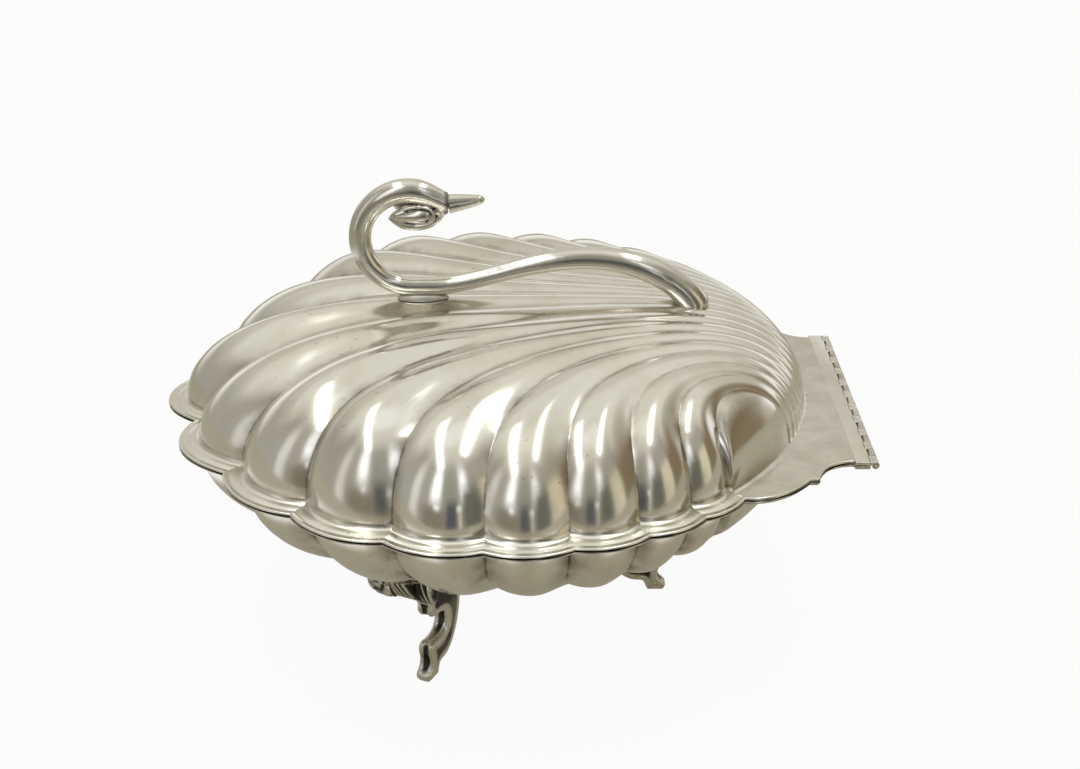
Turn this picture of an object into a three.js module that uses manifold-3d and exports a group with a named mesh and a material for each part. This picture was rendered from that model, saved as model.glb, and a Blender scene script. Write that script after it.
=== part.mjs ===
// A hinged scallop-shell dish in silver plate: a fluted bowl and a fluted domed lid, each pressed
// with its own rim and hinge plate, a swan-necked handle on the lid, and three cast scroll feet.
//
// Frame: millimetres, +Z up, ground at z = 0, origin under the middle of the dish.
// The hinge lies along Y at +X, the pointed front lobe of the shell looks to -X.

import * as THREE from 'three';
import { mergeVertices } from 'three/addons/utils/BufferGeometryUtils.js';
import Module from 'manifold-3d';

// Plan of the shell: 2 * RIBS + 1 lobes fan out from the umbo at the hinge side.
const DOME_R = 111;          // lobe crests at the foot of the dome
const TIP = 8;               // how far the front lobe reaches past that circle
const TIP_SPREAD = 24;       // degrees over which the tip fades
const WAIST = 4;             // drawn-in flanks on both sides of the umbo
const WAIST_AT = 145;        // degrees from the front
const WAIST_SPREAD = 30;
const RIBS = 8;              // lobes on each side of the front lobe
const FRONT_LOBE = 23.3;     // degrees of rim taken by the front lobe
const LOBE_SHRINK = 1.75;    // degrees lost from each lobe to the next
const UMBO_PITCH = 2.75;     // degrees between neighbouring ribs at the umbo
const FAN = 0.4;             // how much the ribs splay as they leave the umbo
const FLUTE = 0.14;          // crease depth as a share of the lobe's width
const TIP_FLUTE = 0.9;       // extra crease depth beside the front lobe
const SHOULDER_FLUTE = 0.5;  // share of the crease depth left over the shell's flat middle
const FLUTE_FADE = [0.45, 0.95];  // from there to the full depth, as shares of the rib's length
const SWEEP = 0.95;          // how much a lobe falls away on its hinge side, 0 is an even round
const SWEEP_FADE = [0.75, 0.98];  // where the sweep dies out, as shares of the rib's length

// Section of the two pressings.
const SHEET = 1.1;
const SEAM = 0.3;            // daylight between the two rims
const LID_H = 39;
const LID_FULL_END = 3.0;    // fullness of the dome towards the tip
const LID_FULL_BACK = 5.0;   // the same towards the hinge
const LID_FULL_SIDE = 4.8;   // fullness of the dome on its flanks
const LID_SHOULDER = 2;      // extra fullness between tip and flank
const SHOULDER_AT = 56;      // degrees from the tip
const SHOULDER_SPREAD = 20;
const BOWL_H = 45;
const BOWL_FULL = 3.2;
const FLANGE = 7;            // rim width at a lobe's crest
const FLANGE_CREASE = 0.9;   // extra rim width at a crease
const RIM_Z = 82.5;          // height of the seam and of the hinge axis

// Hinge: a strip with rolled knuckles soldered to each plate, and a wire pin.
const HINGE_BACK = 127.2;    // shell centre to hinge axis
const HINGE_LENGTH = 110;
const LID_KNUCKLES = 11;
const KNUCKLE_GAP = 0.3;
const PIN_D = 1.2;
const PIN_PLAY = 0.2;        // radial play of the pin in its knuckles
const BARREL_D = 2.7;
const LEAF = 7;              // hinge axis to the butt joint between strip and plate
const LEAF_SHEET = 1.2;
const BARREL_PLAY = 0.35;    // strip edge to the other strip's knuckles
const PLATE_INSET = 1.3;     // the plate's end stands in from the strip's end
const STEP_X = 22.3;         // the small step in the plate's flank, from the hinge axis
const STEP_Y = 66.8;
const STEP_LENGTH = 3;

// Swan handle, placed from the hinge axis and above the dome's top.
const NECK_X = 161.4;        // centre of the neck's curl
const NECK_R = 18;
const NECK_D = 6.8;          // thinnest, at the saddle
const CURL_D = 8.6;          // thickest, on the curl
const SADDLE_H = 0.9;
const SADDLE_LENGTH = 19;
const SADDLE_WIDTH = 7;
const SADDLE_AHEAD = 4;      // saddle and its stud, from the curl's centre towards the hinge
const HUMP_X = 98;
const HUMP_RISE = 10.6;      // hump above the neck's lowest run
const HUMP_D = 8.3;
const TAIL_X = 58;           // the tail ends inside the dome's surface and is cut to it
const TAIL_SINK = 2;
const TAIL_WIDTH = 12;
const TAIL_D = 10.4;
const HEAD_D = 8.8;
const BEAK_X = 147.8;
const BEAK_DROP = 4.9;       // neck's crown to the beak's root
const BEAK_LENGTH = 12.8;
const BEAK_D = 6.9;
const BEAK_TIP_D = 2.7;
const BEAK_LIFT = 1.8;
const SCROLL_LENGTH = 20.5;  // the leaf scroll under the head
const SCROLL_HEIGHT = 9.8;
const SCROLL_WIDTH = 6.4;
const SCROLL_DROP = 4.1;     // beak's root to the scroll's middle
const JOINT = 0.3;           // solder line between two seated pieces

// Studs cast on the handle, held by nuts inside the lid.
const STUD_D = 3;
const STUD_PLAY = 0.3;
const STUD_REACH = 5.5;      // stud length past the inside of the lid
const NUT_AF = 5.5;
const NUT_H = 2.4;
const NUT_DROP = 1.7;        // nut's face below the crest of the hollow lobe
const TAIL_STUD_X = 61;

// Scroll feet, each set square to the rim.
const FRONT_FOOT_AT = 65;    // degrees from the front
const FRONT_FOOT_R = 49;     // shell centre to the root of the leg
const REAR_FOOT_R = 39;
const LEG_WIDTH = 6;
const LEG_BEVEL = 1.1;
const LEG_REACH = 22;        // root of the leg to the tip of the toe
const LEG_CLEAR = 36.25;     // height of the drawn leg below the bowl
const WING_LONG = 21;        // leaf wing towards the shell's tip, from the leg's middle
const WING_SHORT = 9;        // and on its other side
const WING_OUT = 25;         // root of the leg to the wings' middle
const WING_THICK = 9;        // radial thickness of a wing
const WING_HANG = 4.5;       // below the bowl at the leg
const WING_DROP = 10;        // below the bowl near the long wing's tip

const LOBE_STEPS = 6;        // facets across a lobe of the lid
const BOWL_LOBE_STEPS = 4;
const PETAL_STEPS = 2;
const ARC_STEPS = 4;
const SCOOP_STEPS = 4;
const RIB_STEPS = ARC_STEPS + 1 + SCOOP_STEPS;

const SILVER = { color: 0xcfc9bb, roughness: 0.22, metalness: 1 };
const CAST = { color: 0x8d8675, roughness: 0.38, metalness: 1 };

const LAST = RIBS + 0.5;
const { degToRad: rad, radToDeg: deg, clamp, lerp, smoothstep } = THREE.MathUtils;
const bell = (x, spread) => Math.exp(-((x / spread) ** 2));
const FRONT_REACH = DOME_R + TIP + FLANGE;
const CENTRE_X = (FRONT_REACH - HINGE_BACK - BARREL_D / 2) / 2;
const HINGE_X = CENTRE_X + HINGE_BACK;

const wasm = await Module();
wasm.setup();

// Plan geometry, with the shell centre at 0, 0 and angles measured from the front (-X).

const theta = (u) => rad(FRONT_LOBE * u - (Math.sign(u) * LOBE_SHRINK * u * u) / 2);
const tipShare = (a) => bell(deg(a), TIP_SPREAD);
const envelope = (a) =>
  DOME_R + TIP * tipShare(a) - WAIST * bell(Math.abs(deg(a)) - WAIST_AT, WAIST_SPREAD);
const polar = (a, r) => new THREE.Vector2(-r * Math.cos(a), r * Math.sin(a));
const angleOf = (p) => Math.atan2(p.y, -p.x);

// One rib in plan: it leaves the umbo towards the front and turns to meet the rim square on.
function ribCurve(u) {
  const a = theta(u);
  const b = rad(UMBO_PITCH * u);
  const start = polar(Math.PI - b, envelope(Math.PI - Math.abs(b)));
  const end = polar(a, envelope(a));
  const leave = new THREE.Vector2(-Math.cos(b), FAN * Math.sin(b)).normalize();
  const arrive = polar(a, 1);
  const chord = start.distanceTo(end);
  const turn = Math.acos(clamp(leave.dot(arrive), -1, 1));
  const radius = chord / (2 * Math.max(Math.sin(turn / 2), 1e-6));
  const handle = turn < 1e-3 ? chord / 3 : Math.min((4 / 3) * Math.tan(turn / 4) * radius, 1.2 * chord);
  return new THREE.CubicBezierCurve(
    start,
    leave.multiplyScalar(handle).add(start),
    arrive.multiplyScalar(-handle).add(end),
    end,
  );
}

const ribShare = (tau) => (1 - Math.cos(Math.PI * tau)) / 2;

// Beyond the last rib a smooth petal fills the flank, out to the foot of the dome.
function planPoint(u, tau) {
  const t = ribShare(tau);
  const inner = clamp(u, -LAST, LAST);
  const p = ribCurve(inner).getPoint(t);
  const j = Math.abs(u) - LAST;
  if (j <= 0) return p;
  const edge = lerp(Math.PI - rad(UMBO_PITCH * LAST), theta(LAST), t) * Math.sign(u);
  return p.lerp(polar(edge, envelope(edge)), j);
}

const lobeWidth = (u, tau) => {
  const a = Math.min(Math.abs(u), LAST - 0.5);
  const t = ribShare(tau);
  return ribCurve(a - 0.5).getPoint(t).distanceTo(ribCurve(a + 0.5).getPoint(t));
};

// Section of a lobe, from crease to crease: round towards the tip, a swept slope towards the hinge.
// The sweep dies out near the rim, where every lobe ends in an even arc.
function fluteSection(v, t) {
  const even = v * v;
  const swept = SWEEP * (1 - smoothstep(t, ...SWEEP_FADE));
  return v < 0 ? even : lerp(even, Math.sin((Math.PI / 2) * v ** 0.88) ** 2, swept);
}

// Depth below the full surface: nothing on a crest, deepest in a sharp crease.
function fluteDepth(u, tau) {
  const a = Math.abs(u);
  const t = ribShare(tau);
  const worn = lerp(SHOULDER_FLUTE, 1, smoothstep(t, ...FLUTE_FADE));
  const w = FLUTE * lobeWidth(u, tau) * worn;
  if (a > LAST) return w * Math.max(1 - 2 * (a - LAST), 0) ** 2;
  const front = 1 + TIP_FLUTE * tipShare(theta(a)) * t ** 4;
  return w * fluteSection(2 * (a - Math.round(a)), t) * front;
}

// The full surface is a superellipsoid on the plan envelope.
function fullSurface(height, fullness) {
  const level = (x, y, z) => {
    const a = angleOf({ x, y });
    return (z / height) ** 2 + (Math.hypot(x, y) / envelope(a)) ** fullness(a) - 1;
  };
  const heightAt = (p) => {
    const a = angleOf(p);
    const s = Math.min(p.length() / envelope(a), 1);
    return height * Math.sqrt(Math.max(1 - s ** fullness(a), 0));
  };
  const normalAt = (x, y, z) => {
    const e = 0.01;
    return new THREE.Vector3(
      level(x + e, y, z) - level(x - e, y, z),
      level(x, y + e, z) - level(x, y - e, z),
      level(x, y, z + e) - level(x, y, z - e),
    ).normalize();
  };
  return { heightAt, normalAt };
}

const lidFull = fullSurface(LID_H, (a) => {
  const end = Math.cos(a) > 0 ? LID_FULL_END : LID_FULL_BACK;
  const shoulder = bell(deg(Math.abs(a)) - SHOULDER_AT, SHOULDER_SPREAD);
  return lerp(end, LID_FULL_SIDE, Math.sin(a) ** 2) + LID_SHOULDER * shoulder;
});
const bowlFull = fullSurface(BOWL_H, () => BOWL_FULL);

// Surface point at rib u and share tau along it, sunk by the flute and by a further depth.
function shellPoint(full, u, tau, sink = 0) {
  const p = planPoint(u, tau);
  const onFoot = tau === 0 || tau === 1 || Math.abs(u) === LAST + 1;
  const z = onFoot ? 0 : full.heightAt(p);
  const n = full.normalAt(p.x, p.y, z);
  if (onFoot) n.setZ(0).normalize();
  return new THREE.Vector3(p.x, p.y, z).addScaledVector(n, -fluteDepth(u, tau) - sink);
}

// Values of u across the fan: even steps in each lobe, a few in each end petal.
function fanSteps(perLobe) {
  const us = [];
  for (let k = PETAL_STEPS; k > 0; k--) us.push(-LAST - k / PETAL_STEPS);
  const lobes = (2 * RIBS + 1) * perLobe;
  for (let i = 0; i <= lobes; i++) us.push(-LAST + i / perLobe);
  for (let k = 1; k <= PETAL_STEPS; k++) us.push(LAST + k / PETAL_STEPS);
  return us;
}

// Solids.

function toSolid(triangles) {
  let geometry = new THREE.BufferGeometry();
  geometry.setAttribute('position', new THREE.Float32BufferAttribute(triangles, 3));
  geometry = mergeVertices(geometry, 1e-3);
  const index = geometry.index.array;
  const keep = [];
  for (let i = 0; i < index.length; i += 3) {
    const [a, b, c] = [index[i], index[i + 1], index[i + 2]];
    if (a !== b && b !== c && c !== a) keep.push(a, b, c);
  }
  const make = (tris) =>
    new wasm.Manifold(
      new wasm.Mesh({
        numProp: 3,
        vertProperties: new Float32Array(geometry.attributes.position.array),
        triVerts: new Uint32Array(tris),
      }),
    );
  const solid = make(keep);
  if (solid.volume() > 0) return solid;
  for (let i = 0; i < keep.length; i += 3) [keep[i], keep[i + 1]] = [keep[i + 1], keep[i]];
  return make(keep);
}

function solidOf(geometry) {
  const flat = geometry.index ? geometry.toNonIndexed() : geometry;
  return toSolid(Array.from(flat.attributes.position.array));
}

function meshOf(name, solid, finish) {
  const { vertProperties, triVerts } = solid.getMesh();
  const geometry = new THREE.BufferGeometry();
  geometry.setAttribute('position', new THREE.BufferAttribute(new Float32Array(vertProperties), 3));
  geometry.setIndex(new THREE.BufferAttribute(new Uint32Array(triVerts), 1));
  geometry.computeVertexNormals();
  const mesh = new THREE.Mesh(geometry, new THREE.MeshStandardMaterial(finish));
  mesh.name = name;
  return mesh;
}

const quad = (out, a, b, c, d) => {
  for (const p of [a, b, c, a, c, d]) out.push(p.x, p.y, p.z);
};

// A band of quads between two closed loops of equal count.
function band(out, loopA, loopB) {
  loopA.forEach((a, i) => {
    const k = (i + 1) % loopA.length;
    quad(out, a, loopA[k], loopB[k], loopB[i]);
  });
}

// The border of the fan grid as one closed loop of [u index, tau index].
function borderLoop(nu, nt) {
  const loop = [];
  for (let i = 0; i < nu; i++) loop.push([i, nt]);
  for (let j = nt; j > 0; j--) loop.push([nu, j]);
  for (let i = nu; i > 0; i--) loop.push([i, 0]);
  for (let j = 0; j < nt; j++) loop.push([0, j]);
  return loop;
}

function fanGrid(full, us, side, lift, sink) {
  return us.map((u) =>
    Array.from({ length: RIB_STEPS + 1 }, (_, j) => {
      const p = shellPoint(full, u, j / RIB_STEPS, sink);
      return new THREE.Vector3(p.x + CENTRE_X, p.y, RIM_Z + side * (lift + p.z));
    }),
  );
}

function gridFaces(out, grid, flip) {
  for (let i = 0; i + 1 < grid.length; i++) {
    for (let j = 0; j < RIB_STEPS; j++) {
      const face = [grid[i][j], grid[i + 1][j], grid[i + 1][j + 1], grid[i][j + 1]];
      quad(out, ...(flip ? face.reverse() : face));
    }
  }
}

// Flank of the hinge plate, from the last cusp of the rim to the strip: a bulge, a step, a scoop.
const PLATE_HALF = HINGE_LENGTH / 2 - PLATE_INSET;
const rimEdge = (u) => {
  const p = shellPoint(bowlFull, u, 1);
  const v = 2 * (Math.abs(u) - Math.round(Math.abs(u)));
  return polar(angleOf(p), Math.hypot(p.x, p.y) + FLANGE + FLANGE_CREASE * v * v);
};
const lastCusp = rimEdge(LAST);
const stepOut = new THREE.Vector2(HINGE_BACK - STEP_X - STEP_LENGTH / 2, STEP_Y);
const stepIn = new THREE.Vector2(HINGE_BACK - STEP_X + STEP_LENGTH / 2, STEP_Y);
const plateEnd = new THREE.Vector2(HINGE_BACK - LEAF, PLATE_HALF);
const bulge = new THREE.CubicBezierCurve(
  lastCusp,
  new THREE.Vector2(lerp(lastCusp.x, stepOut.x, 0.5), lastCusp.y + 1.2),
  new THREE.Vector2(lerp(lastCusp.x, stepOut.x, 0.85), lerp(stepOut.y, lastCusp.y, 0.4)),
  stepOut,
);
const scoop = new THREE.CubicBezierCurve(
  stepIn,
  new THREE.Vector2(stepIn.x + 0.5, lerp(stepIn.y, plateEnd.y, 0.45)),
  new THREE.Vector2(lerp(stepIn.x, plateEnd.x, 0.4), plateEnd.y + 0.6),
  plateEnd,
);
function flankPoint(step) {
  if (step <= ARC_STEPS) return bulge.getPoint(step / ARC_STEPS);
  return scoop.getPoint((step - ARC_STEPS - 1) / SCOOP_STEPS);
}

function outlinePoint(us, [i, j]) {
  const u = us[i];
  const side = Math.sign(u);
  if (j === RIB_STEPS) {
    const p = rimEdge(Math.min(Math.abs(u), LAST));
    return new THREE.Vector2(p.x, side * p.y || p.y);
  }
  if (j === 0) return new THREE.Vector2(plateEnd.x, PLATE_HALF * (2 * (i / (us.length - 1)) - 1));
  const p = flankPoint(RIB_STEPS - j);
  return new THREE.Vector2(p.x, side * p.y);
}

// One pressing: fluted wall inside and out, flat rim and plate round it, all one closed sheet.
function pressing(full, perLobe, side) {
  const us = fanSteps(perLobe);
  const near = SEAM / 2;
  const far = near + SHEET;
  const outer = fanGrid(full, us, side, far, 0);
  const inner = fanGrid(full, us, side, far, SHEET);
  const out = [];
  gridFaces(out, outer, false);
  gridFaces(out, inner, true);
  const loop = borderLoop(us.length - 1, RIB_STEPS);
  const at = (grid) => loop.map(([i, j]) => grid[i][j]);
  const flat = (points, z) => points.map((p) => new THREE.Vector3(p.x, p.y, RIM_Z + side * z));
  const edge = loop.map((k) => outlinePoint(us, k)).map((p) => ({ x: p.x + CENTRE_X, y: p.y }));
  const rings = [at(outer), flat(edge, far), flat(edge, near), flat(at(inner), near), at(inner)];
  for (let k = 0; k + 1 < rings.length; k++) band(out, rings[k], rings[k + 1]);
  return toSolid(out);
}

// The space a shell fills out to a given stand-off, to seat other pieces against it.
function shellSpace(full, perLobe, side, standOff) {
  const us = fanSteps(perLobe);
  const grid = fanGrid(full, us, side, SEAM / 2 + SHEET, -standOff);
  const loop = borderLoop(us.length - 1, RIB_STEPS).map(([i, j]) => grid[i][j]);
  const lid = loop.map((p) => new THREE.Vector3(p.x, p.y, RIM_Z));
  const middle = new THREE.Vector3(CENTRE_X, 0, RIM_Z);
  const out = [];
  gridFaces(out, grid, false);
  band(out, loop, lid);
  lid.forEach((p, i) => quad(out, p, lid[(i + 1) % lid.length], middle, middle));
  return toSolid(out);
}

// A loft through rings of equal count, with fan caps.
function loft(rings) {
  const out = [];
  for (let i = 0; i + 1 < rings.length; i++) band(out, rings[i], rings[i + 1]);
  for (const [ring, flip] of [[rings[0], true], [rings.at(-1), false]]) {
    const middle = ring.reduce((sum, p) => sum.add(p), new THREE.Vector3()).divideScalar(ring.length);
    ring.forEach((p, i) => {
      const q = ring[(i + 1) % ring.length];
      for (const v of flip ? [middle, q, p] : [middle, p, q]) out.push(v.x, v.y, v.z);
    });
  }
  return toSolid(out);
}

// Elliptical ring square to a path in the XZ plane.
function ring(point, tangent, across, wide, sides = 12) {
  const normal = new THREE.Vector3(-tangent.y, 0, tangent.x);
  return Array.from({ length: sides }, (_, k) => {
    const a = (2 * Math.PI * k) / sides;
    return new THREE.Vector3(point.x, 0, point.y)
      .addScaledVector(normal, (across / 2) * Math.cos(a))
      .add(new THREE.Vector3(0, (wide / 2) * Math.sin(a), 0));
  });
}

function upright(diameter, z0, z1, x, y = 0, sides = 16) {
  const geometry = new THREE.CylinderGeometry(diameter / 2, diameter / 2, z1 - z0, sides);
  geometry.rotateX(Math.PI / 2).translate(x, y, (z0 + z1) / 2);
  return solidOf(geometry);
}

function block(x0, x1, y0, y1, z0, z1) {
  const geometry = new THREE.BoxGeometry(x1 - x0, y1 - y0, z1 - z0);
  return solidOf(geometry.translate((x0 + x1) / 2, (y0 + y1) / 2, (z0 + z1) / 2));
}

// Hinge strips: the strip butts on the plate's end and its tabs roll round the pin.

function hingeStrip(side) {
  const far = SEAM / 2 + LEAF_SHEET;
  const clear = BARREL_D / 2 + BARREL_PLAY;
  const z = [RIM_Z + (side * SEAM) / 2, RIM_Z + side * far].sort((a, b) => a - b);
  const count = side > 0 ? LID_KNUCKLES : LID_KNUCKLES - 1;
  const pitch = HINGE_LENGTH / (2 * LID_KNUCKLES - 1);
  const first = side > 0 ? 0 : pitch;
  let strip = block(HINGE_X - LEAF, HINGE_X - clear, -HINGE_LENGTH / 2, HINGE_LENGTH / 2, z[0], z[1]);
  const bore = BARREL_D / 2;
  const outline = new THREE.Shape();
  outline.absarc(0, 0, bore, -Math.PI / 2, Math.PI / 2 + 0.15, false);
  outline.lineTo(-clear - 0.5, far);
  outline.lineTo(-clear - 0.5, SEAM / 2);
  outline.lineTo(-bore, SEAM / 2);
  outline.absarc(0, 0, bore, Math.PI, 1.5 * Math.PI, false);
  const hole = new THREE.Path();
  hole.absarc(0, 0, PIN_D / 2 + PIN_PLAY, 0, 2 * Math.PI, true);
  outline.holes.push(hole);
  for (let k = 0; k < count; k++) {
    const y0 = -HINGE_LENGTH / 2 + first + 2 * k * pitch;
    const inset = KNUCKLE_GAP / 2;
    const start = y0 + (k === 0 && side > 0 ? 0 : inset);
    const end = y0 + pitch - (k === count - 1 && side > 0 ? 0 : inset);
    const knuckle = new THREE.ExtrudeGeometry(outline, {
      depth: end - start, bevelEnabled: false, curveSegments: 3,
    });
    knuckle.rotateX(Math.PI / 2);
    if (side < 0) knuckle.scale(1, 1, -1);
    knuckle.translate(HINGE_X, end, RIM_Z);
    strip = strip.add(solidOf(knuckle));
  }
  return strip;
}

function hingePin() {
  const length = HINGE_LENGTH + 0.6;
  const geometry = new THREE.CylinderGeometry(PIN_D / 2, PIN_D / 2, length, 12);
  return solidOf(geometry.translate(HINGE_X, 0, RIM_Z));
}

// Swan handle: tail, hump, saddle run, curl and head in one sweep, in the XZ plane.

const DOME_TOP = RIM_Z + SEAM / 2 + SHEET + LID_H;
const RUN_Z = DOME_TOP + SADDLE_H + NECK_D / 2;
const SADDLE_X = NECK_X - SADDLE_AHEAD;
const curlCentre = new THREE.Vector2(HINGE_X - NECK_X, RUN_Z + NECK_R);
const beakRoot = new THREE.Vector2(HINGE_X - BEAK_X, RUN_Z + 2 * NECK_R - BEAK_DROP);

function handlePath() {
  const at = (x, z) => new THREE.Vector2(HINGE_X - x, z);
  const path = new THREE.CurvePath();
  const top = RUN_Z + HUMP_RISE;
  const tailZ = crestInside(TAIL_X) + SHEET - TAIL_SINK;
  const runStart = at(NECK_X - 7, RUN_Z);
  path.add(new THREE.CubicBezierCurve(
    at(TAIL_X, tailZ), at(TAIL_X + 6, lerp(tailZ, top, 0.55)), at(HUMP_X - 19, top), at(HUMP_X, top),
  ));
  path.add(new THREE.CubicBezierCurve(
    at(HUMP_X, top), at(HUMP_X + 22, top), at(NECK_X - 23, RUN_Z), runStart,
  ));
  path.add(new THREE.LineCurve(runStart, at(NECK_X, RUN_Z)));
  path.add(new THREE.EllipseCurve(
    curlCentre.x, curlCentre.y, NECK_R, NECK_R, 1.5 * Math.PI, 0.5 * Math.PI, true, 0,
  ));
  const crown = new THREE.Vector2(curlCentre.x, curlCentre.y + NECK_R);
  path.add(new THREE.CubicBezierCurve(
    crown,
    new THREE.Vector2(crown.x + 0.45 * (NECK_X - BEAK_X), crown.y),
    new THREE.Vector2(beakRoot.x - 3, beakRoot.y + 2),
    new THREE.Vector2(beakRoot.x + 1.2, beakRoot.y - 1),
  ));
  return path;
}

function swanHandle() {
  const path = handlePath();
  const lengths = path.getCurveLengths();
  const total = lengths.at(-1);
  const stops = [0, ...lengths.map((d) => d / total)];
  const across = [TAIL_D, HUMP_D, NECK_D, NECK_D, HEAD_D, BEAK_D + 0.6];
  const wide = [TAIL_WIDTH, HUMP_D, NECK_D, NECK_D, HEAD_D * 0.92, BEAK_D];
  const blend = (values, s) => {
    const k = Math.min(stops.findLastIndex((v) => v <= s + 1e-9), values.length - 2);
    const f = (s - stops[k]) / (stops[k + 1] - stops[k]);
    return lerp(values[k], values[k + 1], smoothstep(f, 0, 1));
  };
  const swell = (s) => {
    const f = clamp((s - stops[3]) / (stops[4] - stops[3]), 0, 1);
    return (CURL_D - (NECK_D + HEAD_D) / 2) * Math.sin(Math.PI * f) ** 2;
  };
  const rings = [];
  const count = 44;
  for (let i = 0; i <= count; i++) {
    const s = i / count;
    const tangent = path.getTangentAt(s);
    rings.push(ring(path.getPointAt(s), tangent, blend(across, s) + swell(s), blend(wide, s) + swell(s) * 0.9));
  }
  const beakFace = beakRoot.x;
  const scroll = new THREE.SphereGeometry(1, 12, 8);
  scroll.scale(SCROLL_LENGTH / 2, SCROLL_WIDTH / 2, SCROLL_HEIGHT / 2).rotateY(-0.12);
  scroll.translate(beakFace - SCROLL_LENGTH / 2, 0, beakRoot.y - SCROLL_DROP);
  const saddleStud = stud(SADDLE_X, RUN_Z);
  const tailStud = stud(TAIL_STUD_X, crestInside(TAIL_STUD_X) + SHEET + TAIL_D / 2);
  return loft(rings)
    .add(solidOf(scroll))
    .subtract(block(beakFace, beakFace + 20, -20, 20, beakRoot.y - 20, beakRoot.y + 20))
    .subtract(domeSpace)
    .add(saddleStud)
    .add(tailStud);
}

function stud(fromHinge, top) {
  return upright(STUD_D, crestInside(fromHinge) - STUD_REACH, top, HINGE_X - fromHinge);
}

// Inside of the lid under the front lobe's crest, at a distance from the hinge axis.
function crestInside(fromHinge) {
  const p = new THREE.Vector2(HINGE_BACK - fromHinge, 0);
  return RIM_Z + SEAM / 2 + lidFull.heightAt(p);
}

function beak() {
  const root = new THREE.Vector2(beakRoot.x + JOINT, beakRoot.y);
  const rings = [];
  const steps = 6;
  for (let i = 0; i <= steps; i++) {
    const f = i / steps;
    const taper = lerp(BEAK_D, BEAK_TIP_D, f ** 1.3);
    const close = i === steps ? 0.5 : 1;
    const point = new THREE.Vector2(root.x + BEAK_LENGTH * f, root.y + BEAK_LIFT * f);
    rings.push(ring(point, new THREE.Vector2(1, 0), taper * close, taper * 0.8 * close, 12));
  }
  return loft(rings);
}

function saddle() {
  const half = SADDLE_LENGTH / 2 - SADDLE_WIDTH / 2;
  const outline = new THREE.Shape();
  outline.absarc(half, 0, SADDLE_WIDTH / 2, -Math.PI / 2, Math.PI / 2, false);
  outline.absarc(-half, 0, SADDLE_WIDTH / 2, Math.PI / 2, 1.5 * Math.PI, false);
  const z0 = DOME_TOP - 4;
  const pad = new THREE.ExtrudeGeometry(outline, {
    depth: DOME_TOP + SADDLE_H + 0.6 - z0, bevelEnabled: false, curveSegments: 8,
  });
  const x = HINGE_X - SADDLE_X;
  pad.translate(x, 0, z0);
  const run = [-1, 1].map((end) =>
    ring(new THREE.Vector2(x + end * SADDLE_LENGTH, RUN_Z), new THREE.Vector2(1, 0),
      NECK_D + 2 * JOINT, NECK_D + 2 * JOINT));
  return solidOf(pad)
    .subtract(domeSpace)
    .subtract(loft(run))
    .subtract(block(x - SADDLE_LENGTH, x + SADDLE_LENGTH, -9, 9, RUN_Z - NECK_D / 2 + 0.4, RUN_Z + 9))
    .subtract(upright(STUD_D + 2 * STUD_PLAY, z0, RUN_Z, x));
}

function nut(fromHinge) {
  const across = NUT_AF / Math.cos(Math.PI / 6);
  const top = crestInside(fromHinge - across / 2) - NUT_DROP;
  return upright(across, top - NUT_H, top, HINGE_X - fromHinge, 0, 6)
    .subtract(upright(STUD_D + 2 * STUD_PLAY, top - NUT_H - 1, top + 1, HINGE_X - fromHinge));
}

// Feet: r runs outwards from the root of the leg, z up from the ground.

// C-scroll leg with a toe below it and a knee that climbs the bowl's side. It is drawn 22 mm out
// and LEG_CLEAR high, and stretched to the reach and to the height that the bowl leaves.
function legProfile() {
  const k = LEG_REACH / 22;
  const h = (RIM_Z - SEAM / 2 - SHEET - BOWL_H) / LEG_CLEAR;
  const top = RIM_Z - BOWL_H / 2;
  const leg = new THREE.Shape();
  const curve = (a, b, c, d, e, f) => leg.bezierCurveTo(a * k, b * h, c * k, d * h, e * k, f * h);
  leg.moveTo(-4 * k, top);
  curve(-4.5, 36, -4, 30, -3, 23);
  curve(-1.8, 14, 2.5, 6.6, 8, 4.6);
  curve(10, 3.8, 12, 4.4, 13.2, 3.8);
  curve(14.2, 3, 14.4, 0, 15.6, 0);
  leg.lineTo(20.4 * k, 0);
  curve(22.4, 0, 22.8, 2.4, 21.2, 3.6);
  curve(19.4, 4.8, 18.8, 6.4, 19.2, 8.4);
  curve(20.8, 12, 19.4, 15, 16.4, 14.4);
  curve(12.6, 13.8, 8.2, 14, 7.4, 18.4);
  curve(7, 22.4, 10.4, 24, 13.6, 24.2);
  curve(17.8, 24.4, 20.6, 27, 19.4, 30.2);
  curve(18.4, 32.8, 20, 34.4, 24, 36);
  curve(31, 39, 38, 46, 41, top / h);
  leg.closePath();
  return leg;
}

function wings(fromCentre, left, right) {
  const reach = fromCentre + WING_OUT;
  const seat = RIM_Z - SEAM / 2 - SHEET - bowlFull.heightAt(new THREE.Vector2(reach, 0));
  const rings = [];
  const steps = 14;
  for (let i = 0; i <= steps; i++) {
    const w = lerp(-left, right, (1 - Math.cos((Math.PI * i) / steps)) / 2);
    const share = Math.min(Math.abs(w) / (w < 0 ? left : right), 0.998);
    const round = Math.sqrt(1 - Math.max((share - 0.7) / 0.3, 0) ** 2);
    const sag = THREE.MathUtils.smoothstep(Math.abs(w), 0, 0.62 * WING_LONG);
    const hang = lerp(WING_HANG, WING_DROP, sag) * round;
    rings.push(Array.from({ length: 10 }, (_, k) => {
      const b = (2 * Math.PI * k) / 10;
      const r = reach + (WING_THICK / 2) * round * Math.cos(b);
      const a = w / reach;
      return new THREE.Vector3(r * Math.cos(a) - fromCentre, r * Math.sin(a), seat + hang * Math.sin(b));
    }));
  }
  return loft(rings);
}

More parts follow.
